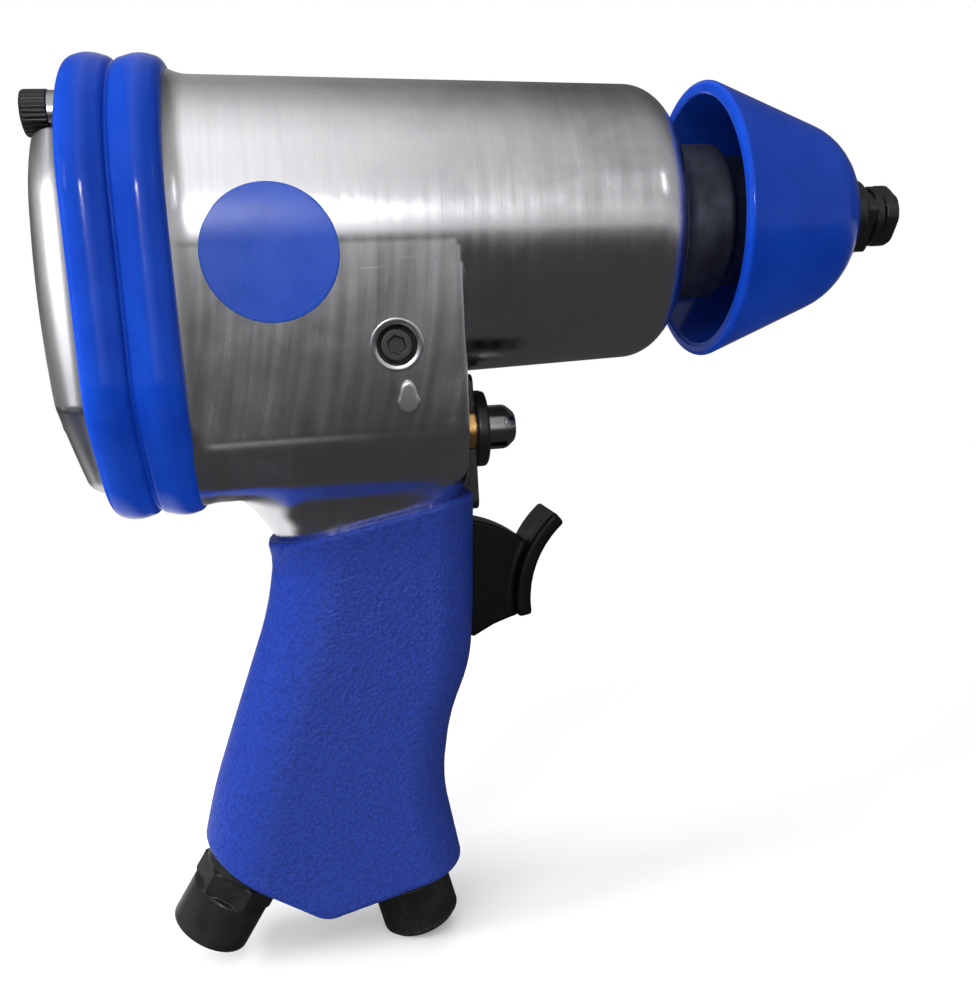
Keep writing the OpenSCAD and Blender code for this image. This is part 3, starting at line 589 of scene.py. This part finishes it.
shape = skinOf(housingForm, (-164, -37, -163), (-4, 37, 36), casting["step"])
housing = piece("housing_casting", shape, polished, "body", ["housing"], True)
housing.data.materials.append(castNose)
centres = np.array([p.center[:] for p in housing.data.polygons]) / mm
away = np.hypot(centres[:, 1], centres[:, 2])
raw = (centres[:, 0] > casting["frontX"] - 0.4) & (away < casting["flangeR"] + 4.0)
raw |= (away < bores["motorR"] + 0.3) & (centres[:, 2] > -28) & (centres[:, 0] < -58)
housing.data.polygons.foreach_set("material_index", raw.astype(np.int32))


# Rear cover with its open screw pockets

cover = {"backX": -178.0, "frontX": -163.55, "inset": 2.7, "edge": 3.6, "pocketR": 5.2, "pocketHalf": 4.6,
         "seatX": -171.2, "hollowR": 23.0, "wall": 4.0, "bow": 1.5, "step": 0.8,
         "screws": ((22.3, 21.2), (-22.3, 21.2), (19.0, -34.0), (-19.0, -34.0))}


def coverForm(x, y, z):
    c = cover
    bow = c["bow"] * ((z + 12) / 28) ** 2
    d = common(rimForm(y, z) + c["inset"] * eased(-x, 168.5, 172.5), c["backX"] + bow - x, c["edge"])
    d = common(d, x - c["frontX"], 0.3)
    for p in c["screws"]:
        pocket = np.hypot(y - p[0], z - p[1]) - c["pocketR"]
        if p[1] > 0:             # the upper pockets are open at the top
            pocket = np.minimum(pocket, np.maximum(np.abs(y - p[0]) - c["pocketHalf"], p[1] - z))
        d = without(d, np.maximum(pocket, x - c["seatX"]), 0.7)
    hollow = np.maximum(np.hypot(y, z) - c["hollowR"], c["backX"] + c["wall"] - x)
    return without(d, hollow, 0.4)


shape = skinOf(coverForm, (-180.5, -36, -58), (-162.5, 36, 36), cover["step"])
piece("cover_casting", shape, brushedCover, "body", ["rear_cover"], True)


# Cap screws with knurled heads

capScrew = {"headX": -177.6, "neckX": -172.8, "tipX": -155.6, "headR": 4.2, "shankR": 2.45,
            "ridges": 30, "ridgeDepth": 0.2, "socket": 2.0, "socketDepth": 2.6, "step": 0.3}


def capScrewForm(x, y, z):
    c = capScrew
    turn, away = np.arctan2(z, y), np.hypot(y, z)
    ridge = c["ridgeDepth"] * np.abs(np.sin(turn * c["ridges"] / 2))
    head = common(away - c["headR"] + 0.1 - ridge + 0.1, x - c["neckX"], 0.3)
    head = common(head, c["headX"] - x, 0.6)
    shank = common(away - c["shankR"], np.maximum(x - c["tipX"], c["neckX"] - 1 - x), 0.4)
    hexagon = sixSided(y, z, (0.3, 1.347, 2.394), c["socket"])
    return without(np.minimum(head, shank), np.maximum(hexagon, x - c["headX"] - c["socketDepth"]), 0.15)


points, faces, normals = skinOf(capScrewForm, (-178.3, -4.9, -4.9), (-154.9, 4.9, 4.9), capScrew["step"], 1)
places = [np.array((0.0, p[0], p[1])) for p in cover["screws"]]
shape = (np.concatenate([points + p for p in places]),
         [[v + i * len(points) for v in f] for i in range(len(places)) for f in faces],
         np.concatenate([normals] * len(places)))
piece("knurled_cap_screws", shape, oxideBlack, "body", ["cover_screws"])


# Rear bumper: a two-rib band carried round the rim

band = {"profile": ((-171.1, -2.4, 0.2), (-171.1, 2.2, 2.6), (-167.0, 3.7, 7.0), (-162.9, 2.5, 1.6),
                    (-162.2, 1.2, 0.4), (-161.4, 2.3, 1.6), (-157.2, 3.5, 7.0), (-152.9, 2.2, 2.4),
                    (-152.8, -1.2, 0.2), (-153.8, -1.2, 0.2), (-153.8, 0.05, 0.1), (-170.05, 0.05, 0.1),
                    (-170.05, -2.4, 0.2)),
        "lipX": -154.0}
rimCorners = [(rim["half"], rim["topZ"], rim["topRound"]), (-rim["half"], rim["topZ"], rim["topRound"]),
              (-rim["half"], rim["lowZ"], rim["sideRound"]), (-rim["footHalf"], rim["footZ"], rim["footRound"]),
              (rim["footHalf"], rim["footZ"], rim["footRound"]), (rim["half"], rim["lowZ"], rim["sideRound"])]
ring, ringNormals = filleted(rimCorners, True, 4)
profile, profileNormals = filleted(band["profile"], True, 8)
points, faces, normals = swept(ring, ringNormals, profile, profileNormals)
grid = points.reshape(len(ring), len(profile), 3)
lip = (profile[:, 0] > band["lipX"]) & (profile[:, 1] < -0.9)
for i in range(len(ring)):       # the front lip reaches in to the casting all the way round
    reach = np.arange(0, 14, 0.2)
    y = ring[i, 0] - ringNormals[i, 0] * reach
    z = ring[i, 1] - ringNormals[i, 1] * reach
    depth = reach[np.argmax(outerForm(np.full_like(y, -153.3), y, z) < -0.6)]
    grid[i, lip, 1:] -= ringNormals[i] * max(depth - 1.2, 0)
piece("ribbed_band", (points, faces, normals), bumperBlue, "body", ["rear_bumper"])


# Nose bumper: a hollow cone over the boss

cone = {"profile": ((-15.0, 14.6, 0.2), (-15.0, 18.4, 2.5), (-39.3, 27.8, 1.0), (-39.3, 31.1, 1.1),
                    (-5.99, 18.11, 16.5), (-3.63, 9.9, 0.2), (-5.9, 9.9, 0.2), (-5.9, 14.6, 0.2))}
shape = turnedShape(cone["profile"], True, 128, 6)
piece("nose_cone", shape, bumperBlue, "body", ["nose_bumper"])


# Grip sleeve over the handle core

grip = {"thick": 2.4, "topAt": (-140.0, -65.5), "topTilt": 11.3, "topEdge": 1.2, "footEdge": 1.9,
        "slotHalf": 6.4, "slotX": -112.0, "slotZ": -97.6, "step": 0.8}


def gripForm(x, y, z):
    g = grip
    tilt = math.radians(g["topTilt"])
    top = (z - g["topAt"][1]) * math.cos(tilt) - (x - g["topAt"][0]) * math.sin(tilt)
    d = common(handleForm(x, y, z, g["thick"]), top, g["topEdge"])
    d = common(d, footForm(x, z), g["footEdge"])
    d = without(d, handleForm(x, y, z, -0.8), 0.1)   # its inner face is hidden in the core
    opening = np.maximum(np.abs(y) - g["slotHalf"], np.maximum(g["slotX"] - x, g["slotZ"] - z))
    return without(d, opening, 0.8)


shape = skinOf(gripForm, (-171, -21, -164), (-92, 21, -52), grip["step"])
piece("grip_sleeve", shape, gripBlue, "body", ["handle_grip"])


# Trigger: a fan on the pivot with a curved finger plate

lever = {"pivot": (-103.6, -90.0), "fanAt": (-101.0, -90.0), "fanR": 25.8, "fanHalf": 4.6,
         "backX": -101.5, "bossR": 4.0, "holeR": 1.53,
         "fingerAt": (-60.7, -84.5), "fingerR": 23.0, "fingerT": 3.4, "fingerHalf": 8.2,
         "fingerFrom": 128.5, "fingerTo": 187.0, "step": 0.5}


def outlineForm(a, b, corners):
    inside, best = np.zeros(a.shape, bool), np.full(a.shape, 1e9)
    for p, q in zip(corners, corners[1:] + corners[:1]):
        run, rise = q[0] - p[0], q[1] - p[1]
        t = np.clip(((a - p[0]) * run + (b - p[1]) * rise) / (run * run + rise * rise), 0, 1)
        best = np.minimum(best, np.hypot(a - p[0] - t * run, b - p[1] - t * rise))
        if rise:
            inside ^= ((p[1] > b) != (q[1] > b)) & (a < run * (b - p[1]) / rise + p[0])
    return np.where(inside, -best, best)


def leverForm(x, y, z):
    c = lever
    px, pz = c["pivot"]
    fan = [(c["fanAt"][0] + c["fanR"] * math.cos(math.radians(a)),
            c["fanAt"][1] + c["fanR"] * math.sin(math.radians(a))) for a in range(45, 92, 2)]
    fan += [(c["backX"], pz + 20), (c["backX"], pz), (-97.0, -92.3), (-92.0, -89.8),
            (-87.0, -88.2), (-84.6, -80.0)]
    side = np.abs(y)
    d = common(outlineForm(x, z, fan), side - c["fanHalf"], 0.7)
    boss = common(np.hypot(x - px, z - pz) - c["bossR"], side - c["fanHalf"], 0.5)
    fx, fz = x - c["fingerAt"][0], z - c["fingerAt"][1]
    away, turn = np.hypot(fx, fz), np.degrees(np.arctan2(fz, fx)) % 360
    middle, half = (c["fingerFrom"] + c["fingerTo"]) / 2, (c["fingerTo"] - c["fingerFrom"]) / 2
    ends = np.radians(np.abs(turn - middle) - half) * away
    plate = common(np.abs(away - c["fingerR"] - c["fingerT"] / 2) - c["fingerT"] / 2, ends, 0.9)
    plate = common(plate, side - c["fingerHalf"], 0.9)
    d = blended(np.minimum(d, boss), plate, 1.6)
    return without(d, np.hypot(x - px, z - pz) - c["holeR"], 0.2)


shape = skinOf(leverForm, (-108.6, -9.5, -96), (-72, 9.5, -62), lever["step"])
piece("trigger_casting", shape, triggerBlack, "trigger_lever", ["trigger"])


# Reverse valve: retainer plate and push-pull spool

keeper = {"backX": -98.55, "frontX": -94.2, "half": 6.0, "topZ": -31.6, "footZ": -62.2,
          "bossR": 8.8, "bossX": -91.2, "spoolR": 5.16, "sleeveR": 7.0,
          "screwZ": (-34.4, -59.0), "screwR": 2.3, "step": 0.35}
spool = {"z": -44.2, "backX": -125.0, "endX": -84.2, "r": 5.1, "ringX": (-123.7, -121.5), "ringR": 3.9,
         "waistX": (-119.0, -113.0), "waistR": 3.2, "slotX": (-105.8, -97.2), "slotHalf": 1.8, "step": 0.4}


def keeperForm(x, y, z):
    c = keeper
    middle, tall = (c["topZ"] + c["footZ"]) / 2, (c["topZ"] - c["footZ"]) / 2
    flat = common(np.abs(y) - c["half"], np.abs(z - middle) - tall, 2.5)
    d = common(flat, between(x, c["backX"], c["frontX"]), 0.35)
    away = np.hypot(y, z - spool["z"])
    boss = common(away - c["bossR"], np.maximum(x - c["bossX"], c["frontX"] - x), 0.8)
    d = np.minimum(d, boss)
    d = without(d, away - c["spoolR"], 0.3)
    d = without(d, np.maximum(away - c["sleeveR"], x - c["frontX"]), 0.15)
    for at in c["screwZ"]:
        d = without(d, np.maximum(np.hypot(y, z - at) - c["screwR"], c["frontX"] - 1.5 - x), 0.2)
    return d


def spoolForm(x, y, z):
    c = spool
    away = np.hypot(y, z - c["z"])
    d = common(away - c["r"], c["backX"] - x, 0.4)
    d = common(d, x - c["endX"], 0.7)
    d = common(d, (away + (x + 84.6) * 0.85 - 3.5) * 0.762, 0.5)
    groove = np.maximum(c["ringR"] - away, np.abs(x - sum(c["ringX"]) / 2) - 1.1)
    d = without(d, groove, 0.15)
    waist = np.maximum(c["waistR"] - away, np.abs(x - sum(c["waistX"]) / 2) - 3.5)
    d = without(d, waist, 0.4)
    notch = np.maximum(np.abs(y) - c["slotHalf"], np.abs(x - sum(c["slotX"]) / 2) - 4.3)
    return without(d, np.maximum(notch, z - c["z"] + 2.5), 0.15)


shape = skinOf(keeperForm, (-99.3, -9.6, -63), (-90.4, 9.6, -30), keeper["step"])
piece("spool_keeper", shape, oxideBlack, "body", ["reverse_plate"])
shape = skinOf(spoolForm, (-125.8, -5.9, -50.1), (-83.4, 5.9, -38.3), spool["step"])
piece("reverse_plunger", shape, spoolSteel, "reverse", ["reverse_spool"])


# Inlet bushing, drawn along its own axis from the handle's foot

inlet = {"shankR": 7.8, "backAt": -13.0, "collarR": 9.1, "hexHalf": 8.5, "hexTurn": 42.0,
         "hexFrom": 3.6, "hexTo": 9.8, "endR": 9.3, "endAt": 20.3, "boreR": 4.0, "threadR": 5.5,
         "threadFrom": 8.3, "pitch": 1.34, "step": 0.4}


def inletForm(a, b, c):
    n = inlet
    away = np.hypot(b, c)
    d = np.maximum(away - n["shankR"], between(a, n["backAt"], 2))
    d = np.minimum(d, common(away - n["collarR"], np.abs(a - 2.5) - 1.5, 0.35))
    turns = [math.radians(n["hexTurn"] + 60 * i) for i in range(3)]
    nut = common(sixSided(b, c, turns, n["hexHalf"]), between(a, n["hexFrom"], n["hexTo"]), 0.25)
    ease = np.minimum(a - n["hexFrom"], n["hexTo"] - a)
    nut = common(nut, (away - 8.75 - 1.7 * ease) * 0.507, 0.2)
    d = np.minimum(d, nut)
    d = np.minimum(d, common(away - n["endR"], np.maximum(a - n["endAt"], 9 - a), 0.9))
    thread = 0.22 * np.sin(2 * math.pi * a / n["pitch"] - np.arctan2(c, b))
    bore = np.minimum(away - n["boreR"], np.maximum(away - n["threadR"] - thread, n["threadFrom"] - a))
    bore = np.minimum(bore, np.maximum(away - 5.2, a + 5.5))
    return without(d, bore, 0.4)


shape = skinOf(inletForm, (-13.8, -10.6, -10.6), (21, 10.6, 10.6), inlet["step"])
shape = turnedAtFoot(shape, foot["inlet"], foot["inletTilt"])
piece("hex_inlet", shape, oxideBlack, "body", ["inlet_bushing"])


# Regulator knob with a straight knurl

dial = {"profile": ((0.3, 3.0, 0.1), (0.3, 7.4, 0.3), (3.4, 7.4, 0.4), (4.2, 9.2, 0.4), (15.0, 9.2, 0.5),
                    (16.3, 8.0, 0.5), (16.3, 0.05, 0.1)),
        "ridges": 60, "ridgeDepth": 0.38, "from": 4.6, "to": 14.6}
profile, _ = filleted(dial["profile"], False, 15)
rows = [profile[0]]
for p in profile[1:]:            # more rows along the knurl, so that its ends run out neatly
    count = max(1, math.ceil(np.linalg.norm(p - rows[-1]) / 0.7))
    rows += [rows[-1] + (p - rows[-1]) * (k + 1) / count for k in range(count)]
rows = np.array(rows)
spokes = circleOf(dial["ridges"] * 6)
points, faces, _ = swept(np.zeros_like(spokes), spokes, rows, np.ones_like(rows), False)
along = points[:, 0]
away, turn = np.hypot(points[:, 1], points[:, 2]), np.arctan2(points[:, 2], points[:, 1])
shown = eased(along, dial["from"] - 0.5, dial["from"] + 0.2)
shown *= 1 - eased(along, dial["to"] - 0.2, dial["to"] + 0.5)
sunk = dial["ridgeDepth"] * shown * (0.5 - 0.5 * np.cos(turn * dial["ridges"])) * (away > 8.6)
points[:, 1:] *= (1 - sunk / np.maximum(away, 0.1))[:, None]
shape = turnedAtFoot((points, faces, None), foot["regulator"], foot["regulatorTilt"])
piece("knurled_dial", shape, oxideBlack, "regulator", ["regulator_knob"])


# Anvil with the square drive, and its split ring

anvil = {"r": 9.5, "neckR": 8.9, "square": 12.7, "squareEdge": 1.3, "turn": 37.0, "length": 9.0,
         "grooveX": 4.3, "grooveHalf": 1.2, "grooveR": 4.4, "step": 0.5}
splitRing = {"outer": 6.9, "inner": 5.8, "half": 1.0, "gap": 1.0, "step": 0.25}


def anvilForm(x, y, z):
    c = anvil
    away = np.hypot(y, z)

    def bar(r, back, front, edge=0.3):
        return common(away - r, between(x, back, front), edge)

    d = np.minimum(bar(6, -97.9, -93), bar(8.5, -94.6, -60))
    d = np.minimum(d, bar(10, -69.8, -60))
    jaw = np.maximum(np.maximum(away - 12, np.abs(y) - 3.5), np.abs(x + 82.1) - 11.7)
    d = np.minimum(np.minimum(d, jaw), bar(12.4, -61, -58.9))
    d = np.minimum(d, bar(c["r"], -59, -3))
    d = np.minimum(d, bar(c["neckR"], -3.6, 0, 0.6))
    s, k = math.sin(math.radians(c["turn"])), math.cos(math.radians(c["turn"]))
    u, v = y * k + z * s, z * k - y * s
    square = common(np.abs(u) - c["square"] / 2, np.abs(v) - c["square"] / 2, c["squareEdge"])
    square = common(square, np.maximum(x - c["length"], -1 - x), 0.5)
    turned = np.minimum(bar(8.3, -1.5, c["length"] - 4.2, 0.2), bar(7.0, 3, c["length"], 0.8))
    square = common(square, turned, 0.2)
    d = np.minimum(d, square)
    return without(d, np.maximum(np.abs(x - c["grooveX"]) - c["grooveHalf"], c["grooveR"] - away), 0.2)


shape = skinOf(anvilForm, (-98.7, -13, -13), (9.9, 13, 13), anvil["step"])
piece("square_anvil", shape, oxideBlack, "drive", ["anvil"])


def splitRingForm(x, y, z):
    c = splitRing
    middle, half = (c["outer"] + c["inner"]) / 2, (c["outer"] - c["inner"]) / 2
    d = common(np.abs(np.hypot(y, z) - middle) - half, np.abs(x - anvil["grooveX"]) - c["half"], 0.35)
    return without(d, np.maximum(np.abs(y) - c["gap"], -z), 0.2)


shape = skinOf(splitRingForm, (2.7, -7.6, -7.6), (5.9, 7.6, 7.6), splitRing["step"])
piece("split_ring", shape, oxideBlack, "drive", ["friction_ring"])


# Oil plug in its recess, the bare disc and a raised oil-drop mark

oilScrew = {"topY": -28.4, "seatY": -26.4, "endY": -21.0, "shankR": 3.0, "socket": 1.65,
            "socketDepth": 1.6, "step": 0.22}
disc = {"x": -135.4, "z": -6.0, "r": 12.9, "lift": 0.22}
drop = {"x": -111.0, "z": -35.6, "r": 2.3, "tip": 2.2, "lift": 0.42}


def oilScrewForm(x, y, z):
    c = oilScrew
    a, b = x - oil["x"], z - oil["z"]
    away = np.hypot(a, b)
    head = common(away - oil["screwR"], np.maximum(c["topY"] - y, y - c["seatY"]), 0.45)
    shank = np.maximum(away - c["shankR"], np.maximum(c["seatY"] - 0.5 - y, y - c["endY"]))
    turns = [math.radians(10 + 60 * i) for i in range(3)]
    hexagon = sixSided(a, b, turns, c["socket"])
    return without(np.minimum(head, shank), np.maximum(hexagon, y - c["topY"] - c["socketDepth"]), 0.12)


shape = skinOf(oilScrewForm, (oil["x"] - 4.2, -29, oil["z"] - 4.2), (oil["x"] + 4.2, -20.3, oil["z"] + 4.2),
               oilScrew["step"], 1)
piece("socket_oil_plug", shape, oxideBlack, "body", ["oil_plug"])


def onCasting(x, z, lift):       # y on the near side, that far off the casting's skin
    low, high = np.full_like(x, -45.0), np.full_like(x, -15.0)
    for _ in range(36):
        middle = (low + high) / 2
        outside = outerForm(x, middle, z) > lift
        low, high = np.where(outside, middle, low), np.where(outside, high, middle)
    return (low + high) / 2


def patchOn(x, z, reach, rings, closed=True):  # a thin patch on the casting; rings are (share, lift)
    turn = np.linspace(0, 2 * math.pi, len(reach), endpoint=False)
    points, faces, n = [], [], len(reach)
    for share, lift in rings:
        px, pz = x + share * reach * np.cos(turn), z + share * reach * np.sin(turn)
        points.append(np.stack([px, onCasting(px, pz, lift), pz], 1))
    for k in range(len(rings) - 1):
        for i in range(n):
            j = (i + 1) % n
            faces.append([k * n + i, k * n + j, k * n + n + j, k * n + n + i])
    if closed:
        faces.append(list(range(n))[::-1])
    return np.concatenate(points), [f[::-1] for f in faces], None


turn = np.linspace(0, 2 * math.pi, 120, endpoint=False)
rings = [(s, disc["lift"]) for s in (0.02, 0.2, 0.4, 0.6, 0.8, 0.9, 0.97, 0.99)] + [(0.998, 0.12), (1.0, -0.15)]
piece("blue_disc", patchOn(disc["x"], disc["z"], np.full(120, disc["r"]), rings), labelBlue, "body",
      ["label_disc"])
reach = drop["r"] + drop["tip"] * np.maximum(np.sin(turn), 0) ** 7
rings = [(s, drop["lift"]) for s in (0.02, 0.4, 0.7, 0.82)]
rings += [(0.9, drop["lift"] * 0.85), (0.97, 0.15), (1.04, -0.15)]
piece("oil_drop_mark", patchOn(drop["x"], drop["z"], reach, rings), brushedCover, "body",
      (), True)
rings = [(0.736, -2.3), (0.74, -0.6), (0.755, -0.05), (0.785, 0.06), (0.95, 0.06), (0.99, 0.03), (1.0, -0.2)]
piece("oil_seat_ring", patchOn(oil["x"], oil["z"], np.full(120, oil["rimR"]), rings, False), polished, "body",
      (), True)


# Stage: pale floor, soft lamps, and a dome and flag that only reflections see

stageLook = {"floor": (0.86, 0.86, 0.86), "floorGlow": 0.22, "worldLevel": 0.43, "domeR": 2.6}
tilts = {"at": (0, 7, 17, 26, 66, 92, 106, 130, 180),
         "level": (0.62, 0.8, 0.56, 0.56, 0.55, 0.38, 0.25, 0.14, 0.12)}
strips = ({"name": "nearStrip", "place": (-0.42, -1.9, 0.40), "wide": 0.2, "tall": 0.22, "level": 70.0},
          {"name": "leftStrip", "place": (-1.5, -1.1, 0.6), "wide": 0.04, "tall": 0.5, "level": 15.0},
          {"name": "rightStrip", "place": (1.1, -1.5, 0.85), "wide": 0.07, "tall": 0.5, "level": 10.0})
lamps = ({"name": "keyLamp", "place": (-0.62, -0.85, 0.72), "aim": (-0.1, 0, -0.02), "size": 0.8, "power": 8.0},
         {"name": "fillLamp", "place": (0.75, -0.8, 0.45), "aim": (-0.08, 0, -0.04), "size": 0.6, "power": 0.7},
         {"name": "sideLamp", "place": (-0.95, -0.15, 0.2), "aim": (-0.14, 0, -0.08), "size": 0.4,
          "power": 8.0},
         {"name": "backLamp", "place": (0.1, 0.8, 0.8), "aim": (-0.1, 0, -0.02), "size": 0.7, "power": 3.5})


def stageMesh(name, points, faces, finish):
    mesh = bpy.data.meshes.new(name)
    mesh.from_pydata(points, [], faces)
    mesh.shade_smooth()
    mesh.materials.append(finish)
    obj = bpy.data.objects.new(name, mesh)
    bpy.context.scene.collection.objects.link(obj)
    obj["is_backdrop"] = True
    return obj


def onlyReflected(obj):
    obj.visible_camera = False
    obj.visible_diffuse = False
    obj.visible_transmission = False
    obj.visible_volume_scatter = False
    obj.visible_shadow = False


def seenRays(tree):              # 1 where the camera looks, straight or by a mirror or glass
    rays = put(tree, "LightPath").outputs
    seen = put(tree, "Math", {0: rays["Is Camera Ray"], 1: rays["Is Glossy Ray"]}, operation="MAXIMUM").outputs[0]
    return put(tree, "Math", {0: seen, 1: rays["Is Transmission Ray"]}, operation="MAXIMUM").outputs[0]


low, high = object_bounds()
floorZ = min(low[2], cadLow[2])
mat, tree, shader = startFinish("floor_paper", stageLook["floor"], 0.9)
shader.inputs["Specular IOR Level"].default_value = 0.0
shader.inputs["Emission Color"].default_value = (1, 1, 1, 1)
axes = put(tree, "SeparateXYZ", {0: placeOf(tree)})
flat = put(tree, "CombineXYZ", {0: axes.outputs["X"], 1: axes.outputs["Y"]}).outputs[0]
out = put(tree, "VectorMath", {0: flat, 1: (0.13, 0, 0)}, operation="ADD").outputs["Vector"]
out = put(tree, "VectorMath", {0: out}, operation="LENGTH").outputs["Value"]
faded = spread(tree, out, 0.12, 0.5, 0, 1)   # the paper runs out to plain white round the part
tree.links.new(tinted(tree, faded, stageLook["floor"], (0, 0, 0)), shader.inputs["Base Color"])
level = spread(tree, faded, 0, 1, stageLook["floorGlow"], 1)
glow = put(tree, "Math", {0: seenRays(tree), 1: level}, operation="MULTIPLY")
tree.links.new(glow.outputs[0], shader.inputs["Emission Strength"])
stageMesh("floor", [(-8, -8, floorZ), (8, -8, floorZ), (8, 8, floorZ), (-8, 8, floorZ)], [[0, 1, 2, 3]], mat)


def glowFinish(name):
    mat = bpy.data.materials.new(name)
    mat.use_nodes = True
    tree = mat.node_tree
    tree.nodes.remove(tree.nodes["Principled BSDF"])
    glow = put(tree, "Emission")
    tree.links.new(glow.outputs[0], tree.nodes["Material Output"].inputs["Surface"])
    return mat, tree, glow


mat, tree, glow = glowFinish("dome_glow")
axes = put(tree, "SeparateXYZ", {0: placeOf(tree)})
near = put(tree, "Math", {0: axes.outputs["Y"], 1: -1.0}, operation="MULTIPLY").outputs[0]
tilt = put(tree, "Math", {0: axes.outputs["Z"], 1: near}, operation="ARCTAN2").outputs[0]
ramp = put(tree, "ValToRGB", {"Fac": spread(tree, tilt, 0, math.pi, 0, 1)}).color_ramp
while len(ramp.elements) < len(tilts["at"]):
    ramp.elements.new(0.5)
for stop, at, level in zip(ramp.elements, tilts["at"], tilts["level"]):
    stop.position = at / 180
    stop.color = (level, level, level, 1)
graded = tree.nodes["Color Ramp"].outputs["Color"]
across = put(tree, "Math", {0: axes.outputs["X"], 1: stageLook["domeR"]}, operation="DIVIDE").outputs[0]
strength = put(tree, "Math", {0: spread(tree, across, -0.15, 0.24, 2.9, 0.72),
                              1: spread(tree, across, -0.36, -0.17, 0.55, 2.9)}, operation="MINIMUM").outputs[0]
tree.links.new(graded, glow.inputs["Color"])
tree.links.new(strength, glow.inputs["Strength"])
points, faces, wide, tall = [], [], 48, 16
for j in range(tall + 1):
    up = math.radians(90) * j / tall * 0.98
    for i in range(wide):
        a = 2 * math.pi * i / wide
        wideR = stageLook["domeR"] * math.cos(up)
        points.append((wideR * math.cos(a), wideR * math.sin(a), stageLook["domeR"] * math.sin(up) + floorZ))
for j in range(tall):
    for i in range(wide):
        k = (i + 1) % wide
        faces.append([j * wide + i, j * wide + k, j * wide + wide + k, j * wide + wide + i])
faces.append([tall * wide + i for i in range(wide)])
onlyReflected(stageMesh("lightDome", points, faces, mat))

mat, tree, glow = glowFinish("flag_glow")
axes = put(tree, "SeparateXYZ", {0: placeOf(tree)})
flat = put(tree, "CombineXYZ", {0: axes.outputs["X"], 1: axes.outputs["Y"]}).outputs[0]
out = put(tree, "VectorMath", {0: flat}, operation="LENGTH").outputs["Value"]
dim = put(tree, "Math", {0: spread(tree, out, 0.45, 1.4, 0.05, 0.22), 1: spread(tree, out, 1.4, 2.5, 0, 0.6)},
          operation="ADD").outputs[0]


def floorCard(axes, across, along, level):   # a pale patch on the flag; each pair of edges fades over 40 mm
    soft, total = 0.02, level
    for axis, (low, high) in (("X", across), ("Y", along)):
        for edge, way in ((low, 1), (high, -1)):
            side = spread(tree, axes.outputs[axis], edge - way * soft, edge + way * soft, 0, 1)
            total = put(tree, "Math", {0: side, 1: total}, operation="MULTIPLY").outputs[0]
    return total


neckCard = floorCard(axes, (-0.29, -0.18), (0.0, 0.4), 1.0)        # lights the neck from behind
creaseCard = floorCard(axes, (-0.28, -0.12), (-0.25, -0.18), 0.3)  # draws the crease of the body
cards = put(tree, "Math", {0: neckCard, 1: creaseCard}, operation="ADD").outputs[0]
tree.links.new(put(tree, "Math", {0: dim, 1: cards}, operation="ADD").outputs[0], glow.inputs["Strength"])
flagZ = floorZ + 0.0003
edge = [(stageLook["domeR"] * c, stageLook["domeR"] * s, flagZ) for c, s in circleOf(48).tolist()]
onlyReflected(stageMesh("darkFlag", edge, [list(range(48))], mat))

for lamp in strips:              # narrow lamps that give the glossy pieces their streaks
    mat, tree, glow = glowFinish(lamp["name"] + "_glow")
    glow.inputs["Strength"].default_value = lamp["level"]
    middle, wide, tall = Vector(lamp["place"]), lamp["wide"] / 2, lamp["tall"] / 2
    across = Vector((0, 0, 1)).cross(middle).normalized()
    up = middle.cross(across).normalized()
    corners = [tuple(middle + across * i * wide + up * j * tall) for i, j in ((-1, -1), (1, -1), (1, 1), (-1, 1))]
    onlyReflected(stageMesh(lamp["name"], corners, [[0, 1, 2, 3]], mat))

for lamp in lamps:
    light = bpy.data.lights.new(lamp["name"], "AREA")
    light.energy = lamp["power"]
    light.size = lamp["size"]
    obj = bpy.data.objects.new(lamp["name"], light)
    bpy.context.scene.collection.objects.link(obj)
    obj.location = lamp["place"]
    obj.visible_glossy = False
    obj.rotation_euler = (Vector(lamp["aim"]) - Vector(lamp["place"])).to_track_quat("-Z", "Y").to_euler()

world = bpy.data.worlds.new("studio")
bpy.context.scene.world = world
world.use_nodes = True
tree = world.node_tree
level = spread(tree, seenRays(tree), 0, 1, stageLook["worldLevel"], 1)
tree.nodes["Background"].inputs["Color"].default_value = (1, 1, 1, 1)
tree.links.new(level, tree.nodes["Background"].inputs["Strength"])
bpy.context.scene.view_settings.view_transform = "Standard"
print("stage set, floor at", round(floorZ, 4))


# Camera, worked out from the photograph

view = {"place": (-0.1313, -0.2265, -0.0232), "yaw": 10.04, "pitch": -9.36, "roll": -3.04,
        "lens": 36.0, "sensor": 36.0}
yaw, pitch, roll = (math.radians(view[k]) for k in ("yaw", "pitch", "roll"))
forward = Vector((math.sin(yaw) * math.cos(pitch), math.cos(yaw) * math.cos(pitch), math.sin(pitch)))
flatRight = forward.cross(Vector((0, 0, 1))).normalized()
flatUp = flatRight.cross(forward)
right = math.cos(roll) * flatRight + math.sin(roll) * flatUp
up = math.cos(roll) * flatUp - math.sin(roll) * flatRight
lens = bpy.data.cameras.new("photoCamera")
lens.lens, lens.sensor_width = view["lens"], view["sensor"]
lens.clip_start = 0.02
camera = bpy.data.objects.new("photoCamera", lens)
bpy.context.scene.collection.objects.link(camera)
camera.matrix_world = Matrix.Translation(view["place"]) @ Matrix((right, up, -forward)).transposed().to_4x4()
bpy.context.scene.camera = camera

low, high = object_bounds()
print("size", [round((h - l) * 1000, 1) for l, h in zip(low, high)], "mm")
